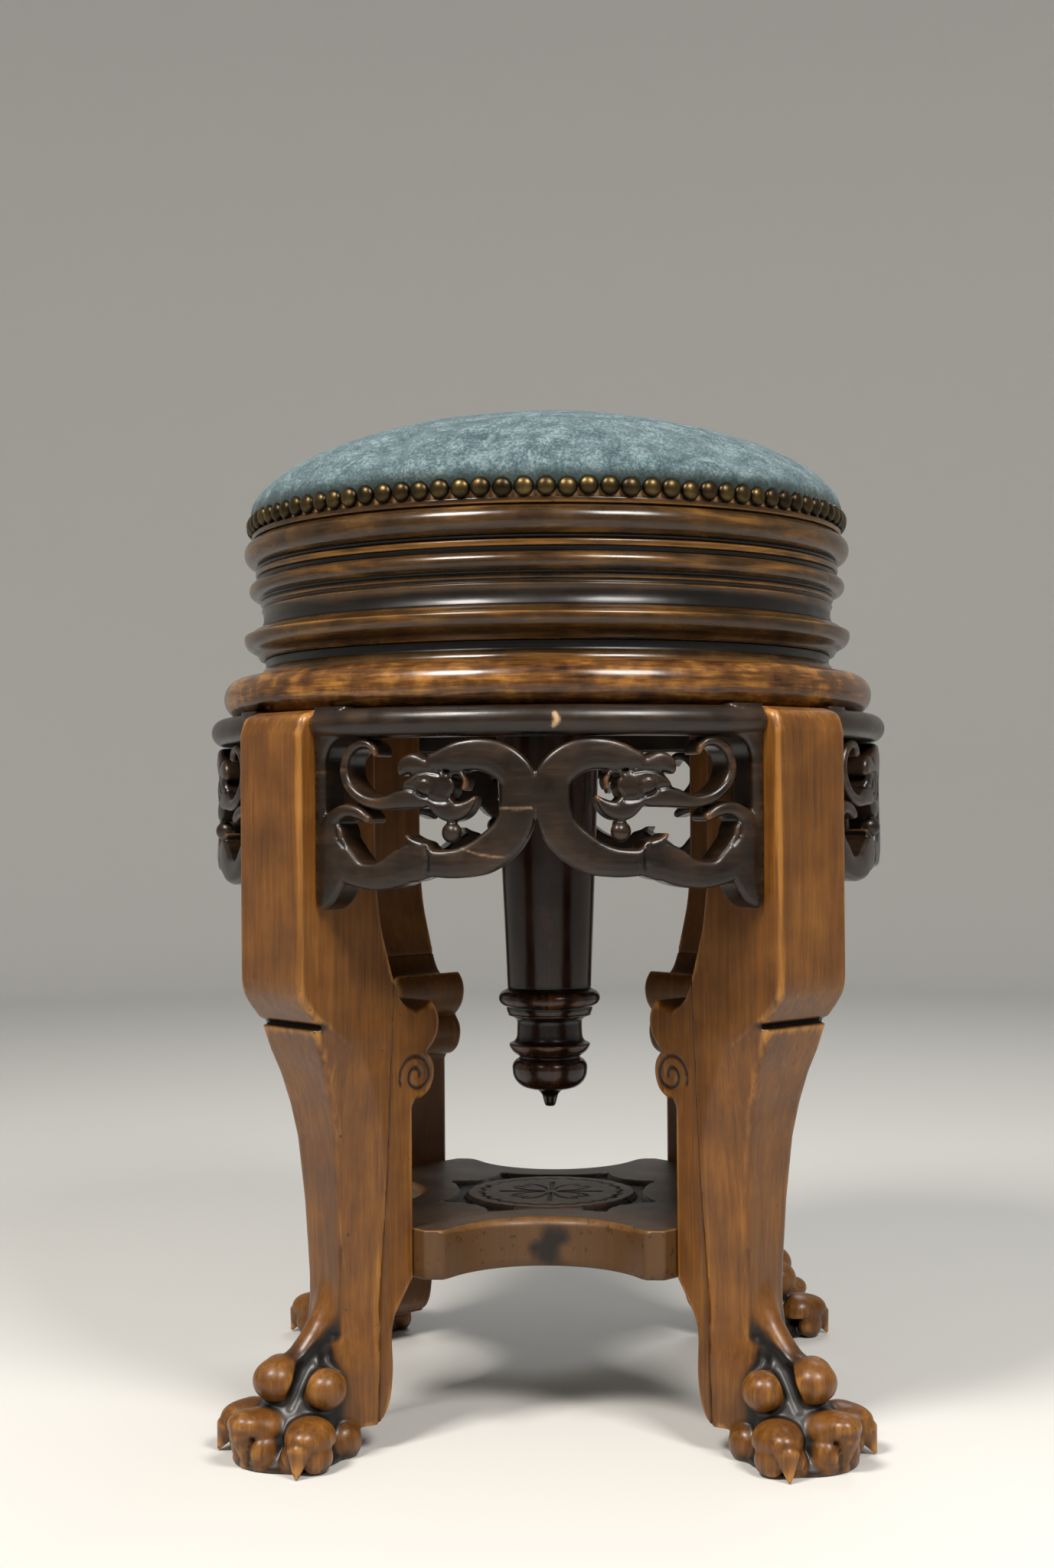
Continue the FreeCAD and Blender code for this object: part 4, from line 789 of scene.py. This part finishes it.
def bracketField(u, w, z):
    outline = outlineOf([
        [(139.7, 249), (135.5, 241.5), (130, 235.5), (123.5, 232.3)], [(123.5, 232.3), (118, 234), (112.1, 237.5)],
        [(112.1, 237.5), (108.3, 232), (107, 225.5), (108.6, 218), (112.3, 212.8), (115.6, 210)],
        [(115.6, 210), (111.5, 204), (110.8, 197), (113.5, 189.5), (119, 185), (124, 184.2)],
        [(124, 184.2), (126.5, 180.5)], [(126.5, 180.5), (126.5, 88.5)], [(126.5, 88.5), (138.9, 70.2)],
        [(138.9, 70.2), (141.1, 60), (140.5, 41.7), (142.5, 25.8), (146.5, 18.5), (151.4, 15)],
        [(151.4, 15), (139.7, 249)]])
    shape = outlineField(outline, u[:, 0, :], z[:, 0, :])
    groove = volute["depth"] * np.exp(-(voluteField(u[:, 0, :], z[:, 0, :]) / volute["width"]) ** 2)
    nearJoint = np.clip((jointLine(z) - u) / 6, 0, 1)
    return rounded(shape[:, None, :], np.abs(w) - leg["half"] + groove[:, None, :], 0.5 + 2.4 * nearJoint)


def makeBrackets():
    axes = [spaced(103, [(154, 1.0)]), spaced(-29.2, [(-23, 0.8), (23, 2.2), (29.2, 0.8)]),
            spaced(12, [(84, 2.0), (92, 1.0), (180, 2.6), (252, 1.0)])]
    shape = np.broadcast_arrays(*np.meshgrid(*axes, indexing="ij", sparse=True))
    points, quads, marks = sculpted(bracketField(*shape), axes)
    u, w, z = points.T
    sides = np.abs(w) > leg["half"] - 2
    marks["relief"] *= 1 - near(u, jointLine(z), 5)
    seam = near(u, jointLine(z), 1.2) * (z > 15) * 0.7
    # Painted shade down the carved groove of the volute on each face, and a dark glue seam along the joint
    marks["inkAndShade"] = np.clip(np.where(sides, near(voluteField(u, z), 0, 1.7) * 1.2, 0) + seam * 0.8, 0, 1)
    for corner, angle in corners.items():
        makePiece("leg_bracket_" + corner, swung(points, angle), quads, legWood, "base",
                  ["bracket_" + corner], marks)


# Aprons. Fretwork drawn flat as curves of (along, drop, width): along the outer face from the middle,
# down from the top, and how wide the band is there. The two halves mirror each other.
apron = {"outer": 194.0, "inner": 176.0, "rail": 15.6, "proud": 3.0, "high": 394.0, "stretch": 194 / 0.9943,
         "arris": 2.4, "pearl": (43.2, 64.2, 5.4), "eye": (58.5, 41.0, 3.4), "step": 1.02, "reach": 45.8,
         "stile": 119.5, "drop": 101.0, "fillet": 13.0, "knife": 1.3, "swell": 0.8}
fretBands = [
    [(53, 28, 9), (41, 25.8, 15), (30.5, 24.8, 16.3), (22, 26.3, 17.3), (14.3, 30.5, 18), (9, 36.8, 18.6),
     (8.3, 45, 18.4), (9, 53, 18.8), (11.2, 60.5, 19.2), (15.4, 66.8, 19.6), (21.5, 72, 19.4), (29.5, 76.8, 18),
     (38, 79.2, 15.6), (46, 80, 14.4), (55, 79.6, 14), (62, 78, 18)],
    [(56, 79.5, 13.5), (64, 79, 20), (68.5, 80, 19), (74, 82.5, 18.4), (81, 85.4, 15.4), (90, 86.6, 14),
     (99, 85.2, 14), (108, 80, 18), (115, 72, 18), (117.5, 62, 13), (114, 56.5, 9), (108.5, 53.4, 7.4),
     (103, 52.8, 7), (97, 54.4, 6.5), (92.5, 57, 5)],
    [(60, 73, 9), (65, 69.5, 5), (68.8, 66, 2)],
    [(117, 66, 18), (115, 82, 20), (119, 94, 15), (122.5, 100.5, 8)],
    [(48, 41, 13), (55, 41, 20), (61, 41.5, 18), (67, 45, 12)],
    [(60, 46.5, 11), (67, 46.5, 11), (73, 47.2, 10), (79, 48.6, 8), (86, 49.2, 6.6), (94, 47.4, 6.2),
     (100, 44, 6), (104.8, 39, 5.8), (107, 32.5, 5.4), (106, 26.5, 5), (102.5, 21.6, 5.2), (97, 18.7, 5),
     (91.6, 18.9, 4.6), (88.2, 21.5, 4), (87.2, 24, 3)],
    [(57, 31.5, 8), (61, 29.8, 9), (65.5, 28.8, 10), (69.3, 30.2, 8.6), (71.4, 33, 5)],
    [(52, 47, 12), (47, 52, 12), (42.5, 53.8, 10), (37.6, 52.4, 8), (33.8, 49.5, 5), (31.6, 47, 2.4)],
    [(46, 45, 5), (47.6, 40.5, 3.4), (44, 34.6, 3.4), (39.4, 34, 3), (36.4, 38, 2.6), (37.2, 42, 2.4)],
]
# Lines cut by the knife: brow, mouth, and where one band passes over the next
knifeLines = [
    [(50, 34.6, 1.2), (57, 33.4, 1.6), (64, 34.6, 1.4), (69, 37, 1.0)],
    [(75, 42.4, 1.2), (67, 41.8, 1.6), (58, 45.6, 1.8), (51, 48.6, 1.4), (46, 48.6, 1.0)],
    [(58, 71, 1.0), (56, 77, 1.4), (57, 86, 1.2)],
    [(112, 59, 1.0), (111, 66, 1.4), (106, 72, 1.0)],
]


def makeAprons():
    reach, step = math.radians(apron["reach"]), apron["step"]
    angle = np.linspace(-reach, reach, round(2 * reach * apron["outer"] / step))
    radius = np.arange(apron["inner"] - 2.5, apron["outer"] + 6, step)
    height = np.arange(288.5, 396.5, step)
    a, r, z = np.meshgrid(angle, radius, height, indexing="ij", sparse=True)
    along = np.abs(np.arcsin(np.clip(r * np.sin(a) / apron["outer"], -1, 1))) * apron["stretch"]
    drop = apron["high"] - z
    flat, flatDrop = np.broadcast_arrays(np.abs(a[:, 0, :]) * apron["stretch"], drop[:, 0, :])
    fret = strokeField(fretBands, flat, flatDrop)
    stile = rounded(rounded(apron["stile"] - flat, apron["rail"] - flatDrop, 0.1), flatDrop - apron["drop"], 2)
    # Where the end stile meets the rail the corner is filled in round a quarter circle
    side, below = flat - apron["stile"] + apron["fillet"], flatDrop - apron["rail"] - apron["fillet"]
    fillet = np.maximum(np.maximum(-side, below), apron["fillet"] - np.hypot(side, below))
    fret = np.minimum(np.minimum(fret, stile), np.where((side > 0) & (below < 0), fillet, 1e9))
    cut = apron["knife"] * np.clip(0.5 - strokeField(knifeLines, flat, flatDrop), 0, 1)
    eyeAway = np.hypot(flat - apron["eye"][0], flatDrop - apron["eye"][1])
    ring = 1.2 * np.exp(-((eyeAway - apron["eye"][2] - 1) / 0.8) ** 2)
    # Each band swells a little towards its middle, as a scroll does
    swell = apron["swell"] * (np.clip(-fret / 7, 0, 1) - 1)
    front = r - (apron["outer"] + swell - cut - ring)[:, None, :]
    body = rounded(rounded(np.broadcast_to(fret[:, None, :], np.broadcast(a, r, z).shape), front, apron["arris"]),
                   apron["inner"] - r, 1.0)
    px, pd, pr = apron["pearl"]
    pearl = np.sqrt((along - px) ** 2 + (drop - pd) ** 2 + (r - (apron["outer"] - pr + 0.9)) ** 2) - pr
    body = np.minimum(body, pearl)
    half = apron["rail"] / 2
    bead = apron["outer"] + apron["proud"] - half
    rail = np.minimum(np.maximum(r - bead, np.abs(drop - half) - half),
                      np.hypot(r - bead, drop - half) - half)
    body = np.minimum(body, rounded(rail, apron["inner"] - r, 1.0))
    # The ends stop at the legs' sides, which run out along the diagonals
    x, y = r * np.sin(a), -r * np.cos(a)
    body = np.maximum(body, np.maximum(x + y, y - x) * math.sqrt(0.5) + leg["half"])
    axes = [angle * apron["outer"], radius, height]
    points, quads, marks = sculpted(body, axes)
    a, r, z = points.T
    a = a / apron["outer"]
    flat, flatDrop = np.abs(a) * apron["stretch"], apron["high"] - z
    outside = r > apron["outer"] - 6
    # Painted shade along the knife cuts on the outer face
    marks["inkAndShade"] = np.where(outside, np.clip(0.8 - strokeField(knifeLines, flat, flatDrop), 0, 1) * 0.8, 0)
    cracks = [[(2, 52, 0.7), (10, 52.4, 0.9), (19, 51.8, 0.4)],
              [(38, 72, 0.5), (29, 75, 0.8), (21, 76.2, 0.9), (13, 75.8, 0.4)]]
    points = np.stack([r * np.sin(a), -r * np.cos(a), z], 1)
    for name, degrees in (("front", 0), ("right", 90), ("back", 180), ("left", 270)):
        own = dict(marks)
        if name == "front":
            crack = strokeField(cracks, -a * apron["stretch"], flatDrop)
            knock = strokeField([[(10, 5, 2.0), (11, 8, 2.6), (9.4, 11, 1.6)]], a * apron["stretch"], flatDrop)
            own["pale"] = np.where(outside, np.clip(0.5 - crack * 1.6, 0, 1) * 0.5 + np.clip(0.6 - knock, 0, 1), 0)
        makePiece("apron_carving_" + name, swung(points, degrees), quads, apronWood, "base",
                  ["apron_" + name], own)


shelfForm = {"top": 115.0, "under": 88.5, "half": 114.4, "corner": 64.5, "nib": 54.0, "edgeRadius": 59.2,
             "edgeCentre": 138.7, "band": 25.5, "sink": 3.0, "ground": 75.9, "medallion": 50.0, "lobe": 27.0,
             "lobeAt": 60.03, "around": 720, "across": 80, "soft": 6.0, "ring": 41.0, "waves": 24}


def crossLines():
    # A four-fold cross of bars and curls, cut as thin grooves in the medallion
    curl = [(5, 2, 1.0), (13, 4, 1.4), (20, 9, 1.6), (22, 14.5, 1.4), (18.5, 16, 1.2), (16.5, 13, 0.8)]
    curves = [[(4, 0, 1.6), (16, 0, 2.4), (29, 0, 3.2)], curl, [(x, -y, width) for x, y, width in curl]]
    return [[(x * c - y * s, x * s + y * c, width) for x, y, width in curve]
            for c, s in ((1, 0), (0, 1), (-1, 0), (0, -1)) for curve in curves]


def makeShelf():
    # The square with concave sides as a radius for each turn of the eye; rows run from the middle of the
    # top out to the edge, over it, down and back to the middle underneath
    f = shelfForm
    angle = circle(f["around"]) + math.pi / f["around"]
    c, s = np.cos(angle), np.sin(angle)
    along, across = np.maximum(np.abs(c), np.abs(s)), np.minimum(np.abs(c), np.abs(s))
    # Along a ray, the concave side is met where |p - centre| is the edge's radius
    middle = along * f["edgeCentre"]
    inside = middle ** 2 - f["edgeCentre"] ** 2 + f["edgeRadius"] ** 2
    arc = np.where(inside > 0, middle - np.sqrt(np.maximum(inside, 0)), 1e9)
    arc = np.where(across * arc < f["nib"], arc, 1e9)
    flat = np.where(across * f["half"] / along >= f["nib"], f["half"] / along, 1e9)
    straight = np.minimum(flat, (f["half"] + f["corner"]) / (along + across))
    reach = np.minimum(arc, straight)
    soft = np.where(arc <= straight, f["soft"], 1.2)
    soft = np.convolve(np.concatenate([soft[-2:], soft, soft[:2]]), np.ones(5) / 5, "valid")
    level = np.ones_like(reach)
    rows = [((reach - soft) * t, level * f["top"]) for t in np.linspace(0, 1, f["across"])]
    rows += [(reach - soft + soft * math.sin(t), f["top"] - soft * (1 - math.cos(t)))
             for t in np.linspace(0, 1, 9)[1:] * math.pi / 2]
    rows += [(reach, f["top"] - soft + (f["under"] - f["top"] + soft) * t) for t in (0.25, 0.5, 0.75, 0.96)]
    rows += [((reach - 0.8) * t, level * f["under"]) for t in (1.0, 0.97, 0.75, 0.5, 0.25, 0.0)]
    radius, heights = (np.array(values).T for values in zip(*rows))
    x, y = radius * c[:, None], radius * s[:, None]
    row = np.arange(len(rows))[None, :]
    top = row < f["across"]
    # Left standing on the sunk ground are the medallion, a band along each side and a lobe at each corner
    away = np.hypot(x, y)
    discs = [(0, 0, 2 * f["medallion"])]
    for dx, dy in ((1, 0), (0, 1), (-1, 0), (0, -1)):
        discs.append((dx * f["edgeCentre"], dy * f["edgeCentre"], 2 * (f["edgeRadius"] + f["band"])))
        discs.append(((dx - dy) * f["lobeAt"], (dx + dy) * f["lobeAt"], 2 * f["lobe"]))
    ground = np.maximum(away - f["ground"], -discField(discs, x, y))
    ring = np.abs(away - f["ring"] - 1.1 * np.sin(f["waves"] * np.arctan2(y, x))) - 0.8
    groove = np.minimum(ring, strokeField(crossLines(), x, y))
    sink = f["sink"] * np.clip(0.5 - ground / 1.6, 0, 1) + 0.9 * np.clip(0.5 - groove / 0.9, 0, 1)
    heights = np.where(top, heights - sink, heights)
    inkAndShade = np.clip(0.5 - ground / 1.2, 0, 1) * 0.97 + np.clip(0.7 - groove * 1.5, 0, 1) * 0.95
    # The front edge is stained in one patch, and dark all along below its arris, which is rubbed and carries a
    # painted highlight
    ragged = 2.5 * np.sin(0.9 * heights) + 1.5 * np.sin(2.1 * heights + 1)
    patch = np.clip(1.3 - np.abs(x - 2 + ragged) / 8, 0, 1) * (y < 0) * near(heights, 100, 14)
    edge = (row >= f["across"] + 5) & (row < f["across"] + 14)
    inkAndShade = np.where(edge, np.clip(0.38 + patch, 0, 0.92), np.where(top, inkAndShade, 0))
    bending = (row >= f["across"]) & (row < f["across"] + 13)
    # The rounded arris and the edges of the raised bands lighten as wear and as a painted highlight
    relief = np.where(bending, 0.55, np.where(top, near(ground, 2.0, 2.0) * 0.35, 0))
    points, faces = swungRows(angle, radius, heights)
    makePiece("shelf_carving", points, faces, shelfWood, "base", ["shelf"],
              {"relief": relief.ravel(), "hollow": (-inkAndShade * 0.2).ravel(), "inkAndShade": np.clip(inkAndShade, 0, 1).ravel()},
              weld=True)


makeLegs()
report("legs")
makeBrackets()
report("brackets")
makeAprons()
report("aprons")
makeShelf()
report("shelf")


# Cushion: the cover's line from the tacked edge to the crown as (radius, height), swung round the axis.
cushion = {"line": [(172.2, 503.2), (172.3, 508.2), (173.6, 511.2), (175.6, 514.4), (175.4, 518.0), (172.4, 522.6),
                    (161, 531.0), (139, 541.4), (110, 550.8), (78, 558.2), (40, 563.2), (0, 564.6)],
           "under": [(0, 503.0), (60, 503.0), (120, 503.0), (168, 503.0)], "turns": 196, "rim": 172,
           "voxel": 4.5, "pressure": 4.0, "steps": 20, "cap": 5.0, "fill": 0.7, "nails": 98, "pinned": 512.0}


def makeCushion():
    line = through([(x, z, 0) for x, z in cushion["line"]], 6)[:, :2]
    line = np.concatenate([cushion["under"], line])
    angle = circle(cushion["turns"])
    radius, height = (np.tile(values, (len(angle), 1)) for values in line.T)
    # Between the nails the cover pulls into small scallops; the stuffing lies in broad low waves
    edge = np.clip((520 - height) / 10, 0, 1) * (radius > 165)
    radius += edge * 0.6 * np.cos(cushion["nails"] * angle)[:, None]
    crown = np.clip((height - 522) / 20, 0, 1)
    waves = 1.2 * np.sin(3 * angle + 0.6) + 0.9 * np.sin(5 * angle + 2.1)
    height += crown * waves[:, None] * radius / cushion["rim"]
    points, faces = swungRows(angle, radius, height)
    piece = makePiece("velvet_cushion", points, faces, velvet, "seat", ["velvet_cover", "seat_stuffing"],
                      weld=True)
    puff(piece)


def coordinates(mesh):
    values = np.empty(len(mesh.vertices) * 3, np.float32)
    mesh.vertices.foreach_get("co", values)
    return values.reshape(-1, 3)


def settle(piece):
    # Applies the piece's modifiers to its mesh
    evaluated = piece.evaluated_get(bpy.context.evaluated_depsgraph_get())
    settled = bpy.data.meshes.new_from_object(evaluated)
    piece.modifiers.clear()
    old = piece.data
    piece.data = settled
    bpy.data.meshes.remove(old)


def puff(piece):
    # Remeshes the pad evenly, lets cloth swell it by its own pressure while the tacked edge holds, keeps
    # every point within the cap of where it began, and smooths it once
    voxels = piece.modifiers.new("even", "REMESH")
    voxels.mode = "VOXEL"
    voxels.voxel_size = cushion["voxel"] / 1000
    settle(piece)
    start = coordinates(piece.data)
    held = piece.vertex_groups.new(name="tacked")
    fixed = np.nonzero(start[:, 2] < cushion["pinned"] / 1000)[0]
    held.add(fixed.tolist(), 1.0, "REPLACE")
    cloth = piece.modifiers.new("cloth", "CLOTH")
    cloth.settings.vertex_group_mass = "tacked"
    cloth.settings.use_pressure = True
    cloth.settings.uniform_pressure_force = cushion["pressure"]
    cloth.settings.effector_weights.gravity = 0
    cloth.settings.quality = 6
    for step in range(1, cushion["steps"] + 1):
        scene.frame_set(step)
    settle(piece)
    shift = coordinates(piece.data) - start
    length = np.linalg.norm(shift, axis=1, keepdims=True)
    shift *= np.minimum(1, cushion["cap"] / 1000 / np.maximum(length, 1e-9))
    piece.data.vertices.foreach_set("co", (start + shift).ravel())
    piece.vertex_groups.clear()
    finer = piece.modifiers.new("finer", "SUBSURF")
    finer.levels = finer.render_levels = 1
    settle(piece)
    piece.data.polygons.foreach_set("use_smooth", np.ones(len(piece.data.polygons), bool))
    scene.frame_set(1)


nail = {"radius": 5.4, "dome": 3.4, "height": 506.4, "ring": 173.05, "sides": 14, "rows": 4, "back": -0.35,
        "rim": 0.96}


def makeNails():
    # Domes set side by side: each is a cap of a sphere turned out to face away from the axis, a little
    # different in size, tilt and place from its neighbours
    rows, number = nail["rows"], cushion["nails"]
    rise = np.arange(rows) / rows * math.pi / 2
    radius = np.concatenate([[0, nail["rim"]], np.cos(rise), [0]])
    height = np.concatenate([[nail["back"]] * 2, np.sin(rise), [1]])
    level = np.concatenate([[0, 0], np.arange(rows) / rows, [1]])
    dome, faces = swungRows(circle(nail["sides"]), np.tile(radius, (nail["sides"], 1)), height)
    angle = circle(number) + rng.normal(0, 0.0012, number)
    size = 1 + rng.normal(0, 0.015, number)
    height = nail["height"] + rng.normal(0, 0.22, number)
    tilt = rng.normal(0, 0.04, (number, 2))
    out = np.stack([np.cos(angle), np.sin(angle), tilt[:, 0]], 1)
    out /= np.linalg.norm(out, axis=1, keepdims=True)
    side = np.stack([-np.sin(angle), np.cos(angle), tilt[:, 1]], 1)
    side -= out * np.einsum("ij,ij->i", out, side)[:, None]
    side /= np.linalg.norm(side, axis=1, keepdims=True)
    up = np.cross(out, side)
    centre = np.stack([nail["ring"] * np.cos(angle), nail["ring"] * np.sin(angle), height], 1)
    local = (dome * np.array([nail["radius"], nail["radius"], nail["dome"]]))[None]
    points = centre[:, None, :] + size[:, None, None] * sum(
        local[:, :, i:i + 1] * way[:, None, :] for i, way in enumerate((side, up, out)))
    faces = faces[None] + (np.arange(number) * len(dome))[:, None, None]
    makePiece("brass_nails", points.reshape(-1, 3), faces.reshape(-1, 4), nailBrass, "seat",
              ["seat_nails"], {"relief": np.tile(level, number * nail["sides"])}, weld=True)


makeCushion()
makeNails()
report("cushion and nails")

# Carried over from the CAD as they are: the iron work, the boards and the pegs
carried = {"base_nut": castIron, "nut_screws": brightSteel, "stop_washer": brightSteel, "screw_plate": castIron,
           "plate_screws": brightSteel, "end_bolt": brightSteel, "seat_board": innerWood,
           "drum_base_board": innerWood, "apron_dowels": innerWood, "leg_dowels": innerWood,
           "shelf_dowels": innerWood}
for name, material in carried.items():
    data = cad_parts[name].data
    if data.materials:
        for index in range(len(data.materials)):
            data.materials[index] = material
    else:
        data.materials.append(material)


# Studio: a pale bowl of a floor, three soft lamps and a dim even sky. Its floor and wall are in millimetres
studio = {"reach": 2600.0, "bend": 800.0, "wall": 3600.0}


def makeStudio():
    # The floor runs flat, then curves up into a wall: radius and height along the line
    bend = np.linspace(0, math.pi / 2, 24)
    flat, curve = studio["reach"], studio["bend"]
    radius = np.concatenate([np.linspace(0, flat, 12), flat + curve * np.sin(bend[1:]), [flat + curve]])
    height = np.concatenate([np.zeros(12), curve * (1 - np.cos(bend[1:])), [studio["wall"]]])
    angle = circle(96)
    material, tree = newMaterial("pale_plaster")
    finishMaterial(tree, {"Base Color": linear("#cfcfcc"), "Roughness": 0.9})
    newObject("studio_floor", *swungRows(angle, np.tile(radius, (len(angle), 1)), height), material)


def makeLamp(name, azimuth, elevation, distance, size, power, colour):
    # A square soft lamp aimed at the stool's middle, azimuth 0 being in front and positive to the right
    a, e = math.radians(azimuth), math.radians(elevation)
    way = Vector((math.sin(a) * math.cos(e), -math.cos(a) * math.cos(e), math.sin(e)))
    light = bpy.data.lights.new(name, "AREA")
    light.size, light.energy, light.color = size, power, linear(colour)[:3]
    lamp = bpy.data.objects.new(name, light)
    lamp.location = Vector((0, 0, 0.33)) + way * distance
    lamp.rotation_euler = way.to_track_quat("Z", "Y").to_euler()
    scene.collection.objects.link(lamp)


makeStudio()
makeLamp("left_softbox", -36, 47, 1.9, 0.5, 40, "#fff8f0")
makeLamp("right_softbox", 32, 42, 1.7, 0.5, 26, "#fffaf4")
makeLamp("rear_softbox", 165, 50, 2.2, 0.9, 12, "#ffffff")
world = bpy.data.worlds.new("soft_sky")
world.use_nodes = True
world.node_tree.nodes["Background"].inputs["Color"].default_value = (1, 1, 1, 1)
world.node_tree.nodes["Background"].inputs["Strength"].default_value = 0.26
scene.world = world

# Camera: low in front, tipped up a little
view = {"distance": 1.224, "turn": 1.88, "height": 0.343, "pitch": 0.61, "roll": 0.41, "yaw": 0.58, "focal": 2696}


def makeCamera():
    phi, a = math.radians(view["turn"]), math.radians(view["turn"] + view["yaw"])
    tip, roll = math.radians(view["pitch"]), math.radians(-view["roll"])
    ahead = Vector((-math.sin(a) * math.cos(tip), math.cos(a) * math.cos(tip), math.sin(tip)))
    right = Vector((math.cos(a), math.sin(a), 0))
    up = right.cross(ahead)
    x = right * math.cos(roll) + up * math.sin(roll)
    y = up * math.cos(roll) - right * math.sin(roll)
    lens = bpy.data.cameras.new("camera")
    lens.lens = view["focal"] / 2048 * lens.sensor_width
    lens.clip_start, lens.clip_end = 0.05, 50
    camera = bpy.data.objects.new("camera", lens)
    place = Matrix((x, y, -ahead)).transposed().to_4x4()
    away = view["distance"]
    place.translation = Vector((away * math.sin(phi), -away * math.cos(phi), view["height"]))
    camera.matrix_world = place
    scene.collection.objects.link(camera)
    scene.camera = camera


makeCamera()
bpy.context.view_layer.update()
report("studio")
